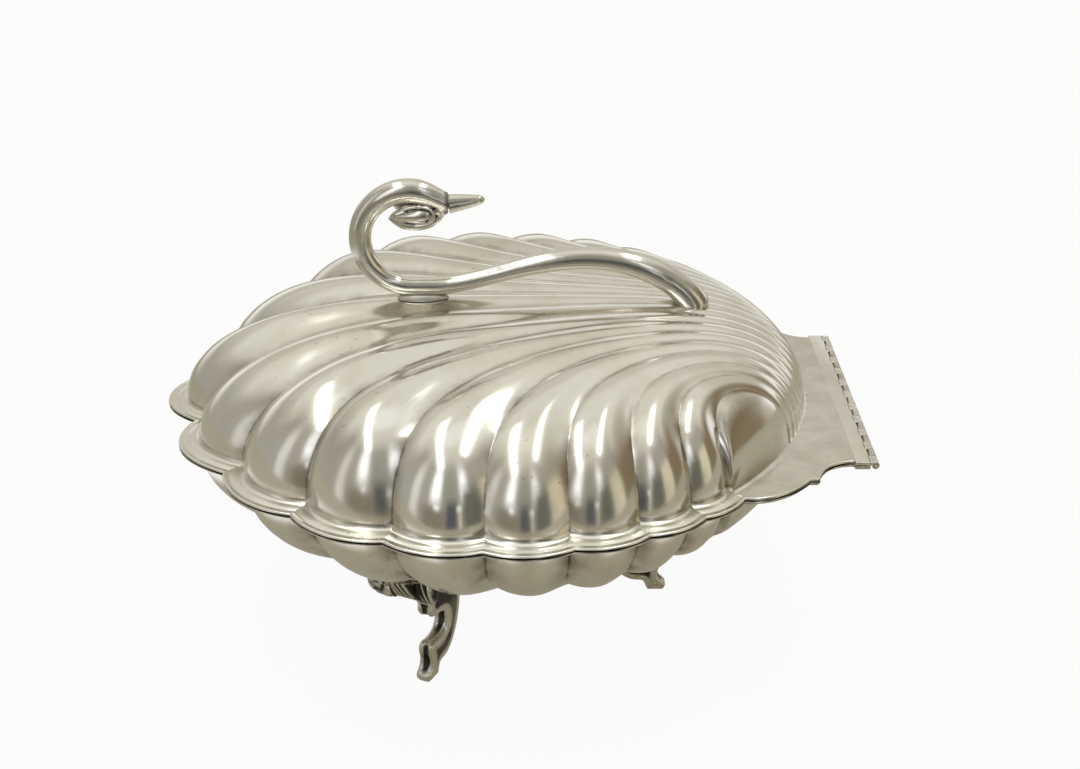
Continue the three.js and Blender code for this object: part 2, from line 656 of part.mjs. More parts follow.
function foot(fromCentre, angle, left, right) {
  const depth = LEG_WIDTH - 2 * LEG_BEVEL;
  const leg = new THREE.ExtrudeGeometry(legProfile(), {
    depth, bevelSize: LEG_BEVEL, bevelThickness: LEG_BEVEL, bevelOffset: -LEG_BEVEL,
    bevelSegments: 1, curveSegments: 3,
  });
  leg.translate(0, 0, -depth / 2).rotateX(Math.PI / 2);
  return solidOf(leg)
    .add(wings(fromCentre, left, right))
    .translate([fromCentre, 0, 0])
    .rotate([0, 0, deg(angle)])
    .translate([CENTRE_X, 0, 0])
    .subtract(bowlSpace);
}

const domeSpace = shellSpace(lidFull, LOBE_STEPS, 1, JOINT);
const bowlSpace = shellSpace(bowlFull, BOWL_LOBE_STEPS, -1, JOINT);

const studHole = (x) => upright(STUD_D + 2 * STUD_PLAY, RIM_Z + 5, DOME_TOP + 5, HINGE_X - x);
const lid = pressing(lidFull, LOBE_STEPS, 1)
  .subtract(studHole(SADDLE_X))
  .subtract(studHole(TAIL_STUD_X));

const frontAngle = Math.PI - rad(FRONT_FOOT_AT);

const dish = new THREE.Group();
dish.add(
  meshOf('bowl_shell', pressing(bowlFull, BOWL_LOBE_STEPS, -1), SILVER),
  meshOf('lid_shell', lid, SILVER),
  meshOf('bowl_hinge_strip', hingeStrip(-1), SILVER),
  meshOf('lid_hinge_strip', hingeStrip(1), SILVER),
  meshOf('hinge_pin', hingePin(), SILVER),
  meshOf('swan_handle', swanHandle(), SILVER),
  meshOf('swan_beak', beak(), SILVER),
  meshOf('handle_saddle', saddle(), SILVER),
  meshOf('saddle_nut', nut(SADDLE_X), CAST),
  meshOf('tail_nut', nut(TAIL_STUD_X), CAST),
  meshOf('foot_front_near', foot(FRONT_FOOT_R, -frontAngle, WING_LONG, WING_SHORT), CAST),
  meshOf('foot_front_far', foot(FRONT_FOOT_R, frontAngle, WING_SHORT, WING_LONG), CAST),
  meshOf('foot_rear', foot(REAR_FOOT_R, 0, WING_LONG, WING_LONG), CAST),
);

export default dish;
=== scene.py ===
# %% [markdown]
# A hinged scallop-shell dish in silver plate. The real one is two sheets of metal pressed into
# the same fluted shell, one for the bowl and one for the lid, with a cast swan's neck for a
# handle and three cast scroll feet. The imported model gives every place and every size. This
# lesson gives each piece the fine form and the finish that the eye expects of old silver.

# %% Load the frame
import math

import bpy
import numpy as np
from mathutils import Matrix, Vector


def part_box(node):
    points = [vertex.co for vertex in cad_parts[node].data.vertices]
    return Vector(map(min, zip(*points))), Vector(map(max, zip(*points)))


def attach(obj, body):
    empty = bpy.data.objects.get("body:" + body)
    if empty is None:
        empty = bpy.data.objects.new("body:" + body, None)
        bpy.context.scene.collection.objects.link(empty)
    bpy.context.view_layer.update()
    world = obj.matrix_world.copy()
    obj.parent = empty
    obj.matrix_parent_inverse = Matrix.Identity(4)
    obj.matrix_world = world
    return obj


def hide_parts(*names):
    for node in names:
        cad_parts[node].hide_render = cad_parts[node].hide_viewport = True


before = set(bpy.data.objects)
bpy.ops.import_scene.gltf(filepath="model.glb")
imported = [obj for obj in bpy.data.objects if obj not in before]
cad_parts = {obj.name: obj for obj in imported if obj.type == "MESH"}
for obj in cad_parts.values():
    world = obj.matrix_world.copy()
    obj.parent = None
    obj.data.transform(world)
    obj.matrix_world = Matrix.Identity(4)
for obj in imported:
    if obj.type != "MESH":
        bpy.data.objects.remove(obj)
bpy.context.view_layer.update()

print("frame loaded with", len(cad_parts), "nodes")

# %% [markdown]
# The scene is in metres and silver is thought of in millimetres, so sizes are written in
# millimetres and multiplied once, where vertices are placed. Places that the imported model
# already holds, such as the hinge axis and the ground, are read from its boxes.

# %% Shared sizes
MM = 0.001
PIN_LOW, PIN_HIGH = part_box("hinge_pin")
HINGE_X = (PIN_LOW.x + PIN_HIGH.x) / 2 / MM
RIM_Z = (PIN_LOW.z + PIN_HIGH.z) / 2 / MM
HINGE_LENGTH = 110.0
HINGE_BACK = 127.2  # from the dome's centre back to the hinge line
CENTRE_X = HINGE_X - HINGE_BACK
SEAM = 0.3  # between the rims of the lid and the bowl
SHEET = 1.1  # thickness of the pressed metal
TINY = 1e-6
print(f"hinge axis at x {HINGE_X:.2f} mm, z {RIM_Z:.2f} mm")

# %% [markdown]
# Every operator works on what is selected, so each piece starts from an empty selection. These
# helpers do the small jobs that a modeller does between two strokes of work.

# %% Helpers for modelling
def clear_selection():
    if bpy.context.object and bpy.context.object.mode != "OBJECT":
        bpy.ops.object.mode_set(mode="OBJECT")
    bpy.ops.object.select_all(action="DESELECT")


def make_active(piece):
    clear_selection()
    piece.select_set(True)
    bpy.context.view_layer.objects.active = piece


def named(name):
    piece = bpy.context.object
    piece.name = name
    piece.data.name = name
    return piece


def begin(name, add, **settings):
    """Adds a primitive, alone, as the start of a piece."""
    clear_selection()
    add(**settings)
    return named(name)


def edit_all(piece):
    """Opens a piece in edit mode with all of it selected."""
    make_active(piece)
    bpy.ops.object.mode_set(mode="EDIT")
    bpy.ops.mesh.select_all(action="SELECT")


def face_outwards(piece):
    edit_all(piece)
    bpy.ops.mesh.normals_make_consistent(inside=False)
    bpy.ops.object.mode_set(mode="OBJECT")


def read_all(items, name, width=1, kind=float):
    """A value, or a row of values, from each vertex or edge."""
    flat = np.empty(len(items) * width, kind)
    items.foreach_get(name, flat)
    return flat if width == 1 else flat.reshape(-1, width)


def points_of(piece):
    return read_all(piece.data.vertices, "co", 3)


def normals_of(piece):
    return read_all(piece.data.vertex_normals, "vector", 3)


def place_points(piece, points):
    piece.data.vertices.foreach_set("co", np.asarray(points, float).ravel())
    piece.data.update()


def read_value(piece, name):
    return read_all(piece.data.attributes[name].data, "value")


def store_value(piece, name, values):
    layers = piece.data.attributes
    layer = layers.get(name) or layers.new(name, "FLOAT", "POINT")
    layer.data.foreach_set("value", np.asarray(values, np.float32))


def store_grain(piece, places):
    """Stores where each vertex lies in the pattern of scratches."""
    layer = piece.data.attributes.new("grain", "FLOAT_VECTOR", "POINT")
    layer.data.foreach_set("vector", np.asarray(places, np.float32).ravel())


def extrude_border(piece):
    """Extrudes the open border on the spot and tells which vertices are new."""
    make_active(piece)
    bpy.ops.object.mode_set(mode="EDIT")
    bpy.ops.mesh.select_all(action="DESELECT")
    bpy.ops.mesh.select_mode(type="EDGE")
    bpy.ops.mesh.select_non_manifold()
    bpy.ops.mesh.extrude_region_move()
    bpy.ops.object.mode_set(mode="OBJECT")
    return read_all(piece.data.vertices, "select", kind=bool)


def apply_modifier(piece, kind, **settings):
    make_active(piece)
    modifier = piece.modifiers.new(kind.title(), kind)
    for key, value in settings.items():
        setattr(modifier, key, value)
    bpy.ops.object.modifier_apply(modifier=modifier.name)


def fuse(pieces, name):
    clear_selection()
    for piece in pieces:
        piece.select_set(True)
    bpy.context.view_layer.objects.active = pieces[0]
    bpy.ops.object.join()
    return named(name)


def smooth_shading(piece, degrees):
    make_active(piece)
    bpy.ops.object.shade_smooth_by_angle(angle=math.radians(degrees))


def lerp(a, b, t):
    return a + (b - a) * t


def smoothstep(x, low, high):
    t = np.clip((x - low) / (high - low), 0, 1)
    return t * t * (3 - 2 * t)


def bell(x, spread):
    return np.exp(-((x / spread) ** 2))


def finish_piece(piece, material, body, node, degrees):
    smooth_shading(piece, degrees)
    piece.data.materials.clear()
    piece.data.materials.append(material)
    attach(piece, body)
    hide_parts(node)
    print(piece.name, len(piece.data.polygons), "faces")


def eased(t):
    """Shares from 0 to 1 that lie closer together towards both ends."""
    return (1 - np.cos(np.pi * t)) / 2


# %% [markdown]
# Old silver plate is a mirror that has been polished a thousand times. Its colour is a warm
# white metal. What makes it look old is uneven: a haze of fine scratches, soft dents that bend
# the reflections, and a brown tarnish that polishing never reaches in the creases. Each vertex
# of the sheet carries how deep it lies in a crease, with painted shade added along the seam,
# where it lies in the pattern of scratches and whether it is on the rim. The material reads
# them, so its marks and the painted shade follow the form.

# %% Node helpers
def new_material(name):
    material = bpy.data.materials.new(name)
    material.use_nodes = True
    tree = material.node_tree
    return material, tree, tree.nodes["Principled BSDF"]


def add_node(tree, kind, inputs=None, **settings):
    node = tree.nodes.new(kind)
    for key, value in settings.items():
        setattr(node, key, value)
    for key, value in (inputs or {}).items():
        if isinstance(value, bpy.types.NodeSocket):
            tree.links.new(value, node.inputs[key])
        else:
            node.inputs[key].default_value = value
    return node


def noise(tree, vector, scale, detail, roughness):
    settings = {"Vector": vector, "Scale": scale, "Detail": detail, "Roughness": roughness}
    return add_node(tree, "ShaderNodeTexNoise", settings).outputs["Fac"]


def remap(tree, value, low, high, to_low=0.0, to_high=1.0):
    limits = {"From Min": low, "From Max": high, "To Min": to_low, "To Max": to_high}
    return add_node(tree, "ShaderNodeMapRange", {"Value": value, **limits}).outputs["Result"]


def calculate(tree, operation, a, b=0.0):
    return add_node(tree, "ShaderNodeMath", {0: a, 1: b}, operation=operation).outputs["Value"]


def times(tree, a, b):
    return calculate(tree, "MULTIPLY", a, b)


def plus(tree, a, b):
    return calculate(tree, "ADD", a, b)


def mix_colour(tree, factor, a, b):
    return add_node(tree, "ShaderNodeMix", {0: factor, 6: a, 7: b}, data_type="RGBA").outputs[2]


def object_vector(tree):
    return add_node(tree, "ShaderNodeTexCoord").outputs["Object"]


def attribute(tree, name, output="Fac"):
    return add_node(tree, "ShaderNodeAttribute", attribute_name=name).outputs[output]


def bump(tree, height, distance, strength=1.0, under=None):
    inputs = {"Height": height, "Distance": distance, "Strength": strength}
    if under is not None:
        inputs["Normal"] = under
    return add_node(tree, "ShaderNodeBump", inputs).outputs["Normal"]


def finish_metal(tree, shader, colour, rough, normal):
    for socket, value in (("Base Color", colour), ("Roughness", rough), ("Normal", normal)):
        tree.links.new(value, shader.inputs[socket])
    shader.inputs["Metallic"].default_value = 1.0


# %% Silver materials
BRIGHT = (0.83, 0.805, 0.735, 1)
WARM = (0.62, 0.56, 0.44, 1)
BROWN = (0.17, 0.135, 0.09, 1)
BLACKENED = (0.035, 0.031, 0.026, 1)
DENT_HEIGHT, SCRATCH_HEIGHT, CAST_DENT_HEIGHT = 0.0003, 0.000004, 0.00012  # in metres


def silver_plate(name, dirt_and_shade):
    """Pressed sheet: hazy, scratched, brown beside its creases and black along them, with painted
    shade in brown along the seam.
    """
    material, tree, shader = new_material(name)
    place = object_vector(tree)
    crease_and_shade, rim = attribute(tree, "crease_and_shade"), attribute(tree, "rim")
    cloud = noise(tree, place, 26.0, 4.0, 0.62)
    colour = mix_colour(tree, remap(tree, cloud, 0.44, 0.70, 0.0, 0.6), BRIGHT, WARM)
    edge = noise(tree, place, 110.0, 3.0, 0.6)
    # Brown: tarnish beside the creases, painted shade along the seam and the plate's slight
    # darkening.
    tarnish_and_shade = times(tree, remap(tree, crease_and_shade, 0.98 - 0.55 * dirt_and_shade, 0.98),
                  remap(tree, edge, 0.35, 0.7, 0.1, 0.7 * dirt_and_shade))
    colour = mix_colour(tree, tarnish_and_shade, colour, BROWN)
    line = times(tree, remap(tree, crease_and_shade, 0.90, 0.99),
                 remap(tree, edge, 0.35, 0.65, 0.1, 0.75))
    colour = mix_colour(tree, line, colour, BLACKENED)
    speck = noise(tree, place, 460.0, 2.0, 0.6)
    spots = times(tree, remap(tree, speck, 0.68, 0.76, 0.0, 0.7),
                  remap(tree, cloud, 0.45, 0.65, 0.2, 1.0))
    colour = mix_colour(tree, spots, colour, BROWN)
    scratch = noise(tree, attribute(tree, "grain", "Vector"), 1.0, 4.0, 0.7)
    rough = plus(tree, remap(tree, scratch, 0.3, 0.75, 0.10, 0.16),
                 remap(tree, cloud, 0.40, 0.75, 0.0, 0.12))
    rough = plus(tree, rough, times(tree, line, 0.3))
    rough = plus(tree, rough, times(tree, rim, 0.08))
    dents = bump(tree, noise(tree, place, 40.0, 2.0, 0.5), DENT_HEIGHT)
    off_rim = calculate(tree, "SUBTRACT", 1.0, rim)
    normal = bump(tree, scratch, SCRATCH_HEIGHT, off_rim, dents)
    finish_metal(tree, shader, colour, rough, normal)
    return material


def cast_silver(name, dark, hollows, smooth, worn, grain_height):
    """Cast silver, black where its hollows, with any painted shade stored on them, pass from the
    first to the second of two depths.
    """
    material, tree, shader = new_material(name)
    place = object_vector(tree)
    cloud = noise(tree, place, 70.0, 4.0, 0.6)
    colour = mix_colour(tree, remap(tree, cloud, 0.4, 0.75, 0.0, 0.6), BRIGHT, WARM)
    depth = plus(tree, attribute(tree, "hollow"), remap(tree, cloud, 0.3, 0.8, -0.12, 0.12))
    stain_and_shade = remap(tree, depth, *hollows, dark, 0.98)
    colour = mix_colour(tree, stain_and_shade, colour, BLACKENED)
    rough = plus(tree, remap(tree, cloud, 0.3, 0.8, smooth, worn), times(tree, stain_and_shade, 0.25))
    dents = bump(tree, noise(tree, place, 120.0, 2.0, 0.5), CAST_DENT_HEIGHT)
    fine = noise(tree, place, 900.0, 3.0, 0.6)
    finish_metal(tree, shader, colour, rough, bump(tree, fine, grain_height, 1.0, dents))
    return material


PLATE = silver_plate("silver_plate", 1.0)
BELLY = silver_plate("silver_plate_below", 1.4)
POLISHED = cast_silver("cast_bright", 0.10, (0.04, 0.40), 0.09, 0.18, 0.000006)
WORN = cast_silver("cast_worn", 0.22, (0.0, 0.5), 0.28, 0.40, 0.00003)
TARNISHED = cast_silver("cast_dark", 0.10, (-0.16, 0.22), 0.12, 0.28, 0.00003)
print("made", PLATE.name, BELLY.name, POLISHED.name, WORN.name, TARNISHED.name)

# %% [markdown]
# The shell's plan. Seventeen lobes fan out from the umbo, the shell's beak at the hinge side.
# Each rib is a curve that leaves the umbo forwards and turns until it meets the rim square on.
# A lobe is named by u, 0 at the front lobe's crest and 1 more at each crest to the side, and a
# place along a rib by t, from 0 at the umbo to 1 at the rim. Writing the shell as a formula is
# the only way to keep so many curved flutes even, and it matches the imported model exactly.

# %% Plan of the shell
# The dome's plan is round, drawn out at the tip and in at the waist. Angles are in degrees.
DOME_R, TIP, TIP_SPREAD = 111.0, 8.0, 24.0
WAIST, WAIST_AT, WAIST_SPREAD = 4.0, 145.0, 30.0
# Lobes on each side of the front one, its angle, and how much narrower each next lobe is.
RIBS, FRONT_LOBE, LOBE_SHRINK = 8, 23.3, 1.75
UMBO_PITCH, FAN = 2.75, 0.4
# A flute's depth as a share of its width, what the tip adds, what is left at the shoulder.
FLUTE, TIP_FLUTE, SHOULDER_FLUTE = 0.14, 0.9, 0.5
LAST = RIBS + 0.5  # the last crease, beyond which a plain petal runs to the hinge side


def rib_angle(u):
    return np.radians(FRONT_LOBE * u - np.sign(u) * LOBE_SHRINK * u * u / 2)


def tip_share(angle):
    return bell(np.degrees(angle), TIP_SPREAD)


def envelope(angle):
    waist = WAIST * bell(np.abs(np.degrees(angle)) - WAIST_AT, WAIST_SPREAD)
    return DOME_R + TIP * tip_share(angle) - waist


def polar(angle, radius):
    return np.stack([-radius * np.cos(angle), radius * np.sin(angle)], -1)


def bezier(a, b, c, d, t):
    t = np.asarray(t)[..., None]
    s = 1 - t
    return s**3 * a + 3 * s * s * t * b + 3 * s * t * t * c + t**3 * d


def rib_point(u, t):
    angle, root = rib_angle(u), np.radians(UMBO_PITCH * u)
    start = polar(np.pi - root, envelope(np.pi - np.abs(root)))
    end = polar(angle, envelope(angle))
    leave = np.stack([-np.cos(root), FAN * np.sin(root)], -1)
    leave /= np.linalg.norm(leave, axis=-1, keepdims=True)
    arrive = polar(angle, 1.0)
    chord = np.linalg.norm(end - start, axis=-1)
    turn = np.arccos(np.clip((leave * arrive).sum(-1), -1, 1))
    radius = chord / (2 * np.maximum(np.sin(turn / 2), TINY))
    reach = np.minimum(4 / 3 * np.tan(turn / 4) * radius, 1.2 * chord)
    reach = np.where(turn < 1e-3, chord / 3, reach)[..., None]
    return bezier(start, start + reach * leave, end - reach * arrive, end, t)


def plan_point(u, t):
    inside = rib_point(np.clip(u, -LAST, LAST), t)
    beyond = np.maximum(np.abs(u) - LAST, 0)[..., None]
    edge = lerp(np.pi - np.radians(UMBO_PITCH * LAST), rib_angle(LAST), t) * np.sign(u)
    return lerp(inside, polar(edge, envelope(edge)), beyond)


def lobe_width(u, t):
    a = np.minimum(np.abs(u), LAST - 0.5)
    return np.linalg.norm(rib_point(a - 0.5, t) - rib_point(a + 0.5, t), axis=-1)


print("front lobe is", round(float(lobe_width(0.0, 1.0)), 1), "mm wide at the rim")

# %% [markdown]
# Across a lobe the metal rises round and full on the side towards the tip, and falls away on
# the side towards the hinge in a flatter slope that ends in a narrow fillet. That lopsided
# section is what makes the flutes look swept. The crest stays on the full surface, which is a
# superellipsoid over the plan.

# %% Section of the flutes
SLOPE = 0.95


def flute_section(v, t):
    round_side = v * v
    swept_side = np.sin(np.pi / 2 * np.abs(v) ** 0.88) ** 2
    swept = SLOPE * (1 - smoothstep(t, 0.75, 0.98))
    sharp = np.where(v < 0, round_side, lerp(round_side, swept_side, swept))
    worn = 0.9 * np.sin(np.pi / 2 * v) ** 2
    return lerp(worn, sharp, smoothstep(t, 0.25, 0.62))


def lobe_share(u):
    a = np.abs(u)
    return 2 * (a - np.floor(a + 0.5))


def flute_depth(u, t):
    a = np.abs(u)
    width = FLUTE * lobe_width(u, t) * lerp(SHOULDER_FLUTE, 1, smoothstep(t, 0.45, 0.95))
    petal = width * np.maximum(1 - 2 * (a - LAST), 0) ** 2
    front = 1 + TIP_FLUTE * tip_share(rib_angle(a)) * t**4
    return np.where(a > LAST, petal, width * flute_section(lobe_share(u), t) * front)


def full_surface(height, fullness):
    def level(x, y, z):
        angle = np.arctan2(y, -x)
        return (z / height) ** 2 + (np.hypot(x, y) / envelope(angle)) ** fullness(angle) - 1

    def height_at(p):
        angle = np.arctan2(p[..., 1], -p[..., 0])
        s = np.minimum(np.hypot(p[..., 0], p[..., 1]) / envelope(angle), 1)
        return height * np.sqrt(np.maximum(1 - s ** fullness(angle), 0))

    def normal_at(x, y, z):
        e = 0.01
        n = np.stack([level(x + e, y, z) - level(x - e, y, z),
                      level(x, y + e, z) - level(x, y - e, z),
                      level(x, y, z + e) - level(x, y, z - e)], -1)
        return n / np.linalg.norm(n, axis=-1, keepdims=True)

    return height_at, normal_at


LID_H, LID_FULL_END, LID_FULL_BACK, LID_FULL_SIDE = 39.0, 3.0, 5.0, 4.8
LID_SHOULDER, SHOULDER_AT, SHOULDER_SPREAD = 2.0, 56.0, 20.0
BOWL_H, BOWL_FULL = 45.0, 2.65


def lid_fullness(angle):
    end = np.where(np.cos(angle) > 0, LID_FULL_END, LID_FULL_BACK)
    shoulder = LID_SHOULDER * bell(np.degrees(np.abs(angle)) - SHOULDER_AT, SHOULDER_SPREAD)
    return lerp(end, LID_FULL_SIDE, np.sin(angle) ** 2) + shoulder


LID_FORM = full_surface(LID_H, lid_fullness)
BOWL_FORM = full_surface(BOWL_H, lambda a: BOWL_FULL)


def shell_point(form, u, t):
    height_at, normal_at = form
    p = plan_point(u, t)
    foot = (t < TINY) | (t > 1 - TINY) | (np.abs(u) > LAST + 1 - TINY)
    z = np.where(foot, 0, height_at(p))
    n = normal_at(p[..., 0], p[..., 1], z)
    n[..., 2] = np.where(foot, 0, n[..., 2])
    n /= np.linalg.norm(n, axis=-1, keepdims=True)
    return np.concatenate([p, z[..., None]], -1) - n * flute_depth(u, t)[..., None]


# %% [markdown]
# Round the dome runs a flat rim that follows the lobes. At the hinge it widens into a plate
# with a bulged, stepped and scooped flank on each side. Each point of the dome's foot has its
# partner on that outline, so the rim can be drawn out from the foot ring by ring.

# %% Outline of the rim and plate
FLANGE, FLANGE_CREASE = 7.0, 0.9
LEAF, PLATE_INSET = 7.0, 1.3
STEP_X, STEP_Y, STEP_LENGTH = 22.3, 66.8, 3.0
STEP_AT = 0.45


def rim_edge(u):
    p = shell_point(BOWL_FORM, u, np.ones_like(u))
    radius = np.hypot(p[..., 0], p[..., 1]) + FLANGE + FLANGE_CREASE * lobe_share(u) ** 2
    return polar(np.arctan2(p[..., 1], -p[..., 0]), radius)


LAST_CUSP = rim_edge(np.array([LAST]))[0]
STEP_OUT = np.array([HINGE_BACK - STEP_X - STEP_LENGTH / 2, STEP_Y])
STEP_IN = np.array([HINGE_BACK - STEP_X + STEP_LENGTH / 2, STEP_Y])
PLATE_END = np.array([HINGE_BACK - LEAF, HINGE_LENGTH / 2 - PLATE_INSET])


def flank_point(share):
    bulge = bezier(LAST_CUSP,
                   np.array([lerp(LAST_CUSP[0], STEP_OUT[0], 0.5), LAST_CUSP[1] + 1.2]),
                   np.array([lerp(LAST_CUSP[0], STEP_OUT[0], 0.85),
                             lerp(STEP_OUT[1], LAST_CUSP[1], 0.4)]),
                   STEP_OUT, np.clip(share / STEP_AT, 0, 1))
    scoop = bezier(STEP_IN,
                   np.array([STEP_IN[0] + 0.5, lerp(STEP_IN[1], PLATE_END[1], 0.45)]),
                   np.array([lerp(STEP_IN[0], PLATE_END[0], 0.4), PLATE_END[1] + 0.6]),
                   PLATE_END, np.clip((share - STEP_AT - 0.04) / (1 - STEP_AT - 0.04), 0, 1))
    return np.where((share <= STEP_AT + 0.02)[..., None], bulge, scoop)


def outline_point(u, tau):
    side = np.where(u < 0, -1.0, 1.0)
    rim = rim_edge(np.minimum(np.abs(u), LAST))
    back = np.stack([np.full_like(u, PLATE_END[0]), PLATE_END[1] * np.abs(u) / (LAST + 1)], -1)
    flank = flank_point(1 - tau)
    p = np.where((tau > 1 - TINY)[..., None], rim, np.where((tau < TINY)[..., None], back, flank))
    return np.stack([p[..., 0], side * p[..., 1]], -1)


# %% [markdown]
# To make a pressing, a grid primitive is laid down and each vertex is carried to its place on
# the fan. The grid is finer near the creases and near the rim, where the metal bends most. In
# edit mode the border is then extruded once for each ring of the rim: up the fillet at the
# dome's foot, out along the flat, down a fine step and over the rounded edge. Solidify gives
# the sheet its wall. A Boolean or a remesh would have rounded off the creases.

# %% Press a fluted sheet
LOBE_STEPS, PETAL_STEPS, ALONG_STEPS = 18, 8, 84
LOBE_CELLS = (2 * RIBS + 1) * LOBE_STEPS
FOOT_RISE = 0.9
FOOT_LIFT = SEAM / 2 + SHEET
# Distance from the foot and height of each ring, then its share of the way off the flutes.
FOOT_RINGS = [(0.35, 0.55, 0.4), (0.9, 0.22, 0.8), (1.9, 0.0, 1.0)]
# Distance from the edge and height of each ring.
LID_EDGE = [(3.1, 0.0), (2.8, -0.2), (1.4, -0.2), (1.15, -0.02), (0.5, -0.04), (0.15, -0.22),
            (0.0, -0.6)]
BOWL_EDGE = [(2.6, 0.0), (1.9, -0.3), (1.0, -0.6), (0.3, -0.75), (0.0, -0.85)]
TRIM = 0.9989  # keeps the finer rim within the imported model's width
PLATE_GROOVE = 0.6  # nearer to the edge than this, the plate's flank is rounded like the rim


def fan_place(x, y):
    """Lobe number and place along the rib for a grid point from -1 to 1 each way."""
    step = (x + 1) / 2 * (LOBE_CELLS + 2 * PETAL_STEPS) - PETAL_STEPS
    far = step - LOBE_CELLS
    petal = np.where(step < 0, step / PETAL_STEPS - LAST, LAST + far / PETAL_STEPS)
    number = np.clip(np.floor(step / LOBE_STEPS + TINY), 0, 2 * RIBS)
    v = np.sin(np.pi / 2 * (2 * (step / LOBE_STEPS - number) - 1))
    on_petal = (step < -TINY) | (far > TINY)
    tau = np.round((y + 1) / 2 * ALONG_STEPS) / ALONG_STEPS
    return np.where(on_petal, petal, number - RIBS + v / 2), tau


def fan_numbers(sheet):
    """The lobe number and the place along the rib that each vertex of a sheet keeps."""
    steps = np.round(read_value(sheet, "along") * ALONG_STEPS)
    return read_value(sheet, "lobe"), steps / ALONG_STEPS


def world_points(p, side):
    height = RIM_Z + side * (FOOT_LIFT + p[..., 2])
    return np.stack([p[..., 0] + CENTRE_X, p[..., 1] * TRIM, height], -1) * MM


def draw_out_rim(sheet, form, side, distance, rise, from_edge, ease):
    """Extrudes the border once. Towards the hinge the ring leaves the flutes by a share, ease."""
    new = extrude_border(sheet)
    u, tau = (numbers[new] for numbers in fan_numbers(sheet))
    on_plate = tau < 1 - TINY
    foot = shell_point(form, u, eased(tau))[:, :2]
    straight = lerp(foot, plan_point(u, eased(tau)), ease)
    foot = np.where(on_plate[:, None], straight, foot)
    edge = outline_point(u, tau)
    reach = np.linalg.norm(edge - foot, axis=-1)
    share = ((reach - distance) if from_edge else distance) / reach
    height = np.full(len(u), float(rise))
    if from_edge:
        height[on_plate & (distance > PLATE_GROOVE)] = 0
        height[tau < TINY] = 0
    for number, z in zip(np.flatnonzero(new), height):
        sheet.vertex_groups[0].add([int(number)], 1 + min(float(z), 0) / SHEET, "REPLACE")
    points = points_of(sheet)
    ring = np.column_stack([lerp(foot, edge, share[:, None]), height])
    points[new] = world_points(ring, side)
    place_points(sheet, points)


def press_sheet(name, form, side, edge_rings):
    sheet = begin(name, bpy.ops.mesh.primitive_grid_add, size=2, y_subdivisions=ALONG_STEPS,
                  x_subdivisions=LOBE_CELLS + 2 * PETAL_STEPS)
    u, tau = fan_place(*points_of(sheet)[:, :2].T)
    store_value(sheet, "lobe", u)
    store_value(sheet, "along", tau)
    dome = shell_point(form, u, eased(tau))
    dome[:, 2] = np.hypot(dome[:, 2], FOOT_RISE)
    place_points(sheet, world_points(dome, side))
    sheet.vertex_groups.new(name="full_sheet").add(range(len(dome)), 1.0, "REPLACE")
    for distance, rise, ease in FOOT_RINGS:
        draw_out_rim(sheet, form, side, distance, rise, False, ease)
    for distance, rise in edge_rings:
        draw_out_rim(sheet, form, side, distance, rise, True, 1.0)
    face_outwards(sheet)
    if sheet.data.polygons[len(sheet.data.polygons) // 2].normal.z * side < 0:
        edit_all(sheet)
        bpy.ops.mesh.flip_normals()
        bpy.ops.object.mode_set(mode="OBJECT")
    return sheet


# %% [markdown]
# Tarnish lies along each crease and in the pocket beside the last lobe. Along the seam the
# sheet is painted brown as shade, for the shadow in the gap between the lid and the bowl. The
# lid is polished more than the bowl, so its creases keep a narrower line of tarnish. The flat
# plate at the hinge is drawn a little browner.

# %% Wear and painted shade of a sheet
RIM_TARNISH, PETAL_TARNISH, PLATE_DARKENING, SEAM_PAINTED_SHADE = 0.3, 0.3, 0.62, 0.7
SEAM_REACH = 0.45  # how far from the seam its painted shade reaches
SCRATCH_SCALE = (60, 14, 0.02)  # across the lobes, along them and upwards


def finish_sheet(sheet, narrow, material, body, node):
    """Stores what the material reads at each vertex, then gives the sheet its wall."""
    u, tau = fan_numbers(sheet)
    t, across = eased(tau), np.abs(u)
    height = points_of(sheet)[:, 2] / MM
    on_rim = (tau < TINY) | (tau > 1 - TINY) | (across > LAST + 1 - TINY)
    worn = lerp(0.86, 1.0, smoothstep(t, 0.6, 0.97))
    pocket = 0.8 * bell(across - LAST - 0.25, 0.45) * smoothstep(t, 0.1, 0.5)
    crease_and_shade = np.where(across > LAST, np.maximum(pocket, PETAL_TARNISH),
                      np.abs(lobe_share(u)) ** narrow * worn)
    # The flat plate at the hinge is drawn a little browner than the rim.
    crease_and_shade[on_rim] = np.where(tau > 1 - TINY, RIM_TARNISH, PLATE_DARKENING)[on_rim]
    # Painted shade: near the seam the sheet is darkened, for the shadow in the gap between lid and
    # bowl.
    crease_and_shade[np.abs(height - RIM_Z) < SEAM / 2 + SEAM_REACH] = SEAM_PAINTED_SHADE
    store_value(sheet, "crease_and_shade", crease_and_shade)
    store_value(sheet, "rim", on_rim)
    store_grain(sheet, np.stack([u, t, height], -1) * SCRATCH_SCALE)
    apply_modifier(sheet, "SOLIDIFY", thickness=SHEET * MM, offset=-1.0,
                   vertex_group="full_sheet", thickness_vertex_group=0.0)
    finish_piece(sheet, material, body, node, 55)


# %% The lid and the bowl
lid = press_sheet("lid_pressing", LID_FORM, 1, LID_EDGE)
finish_sheet(lid, 3.0, PLATE, "lid", "lid_shell")
bowl = press_sheet("bowl_pressing", BOWL_FORM, -1, BOWL_EDGE)
finish_sheet(bowl, 1.8, BELLY, "dish", "bowl_shell")

# %% [markdown]
# The swan's neck was cast in one piece with its head. A modeller could bend a curve with a
# round bevel, but a curve keeps its section round, and this neck flattens to a leaf at the
# tail. So a circle is extruded into a straight stack of rings, and each ring is then carried
# to its station on the path, with its own height and width.

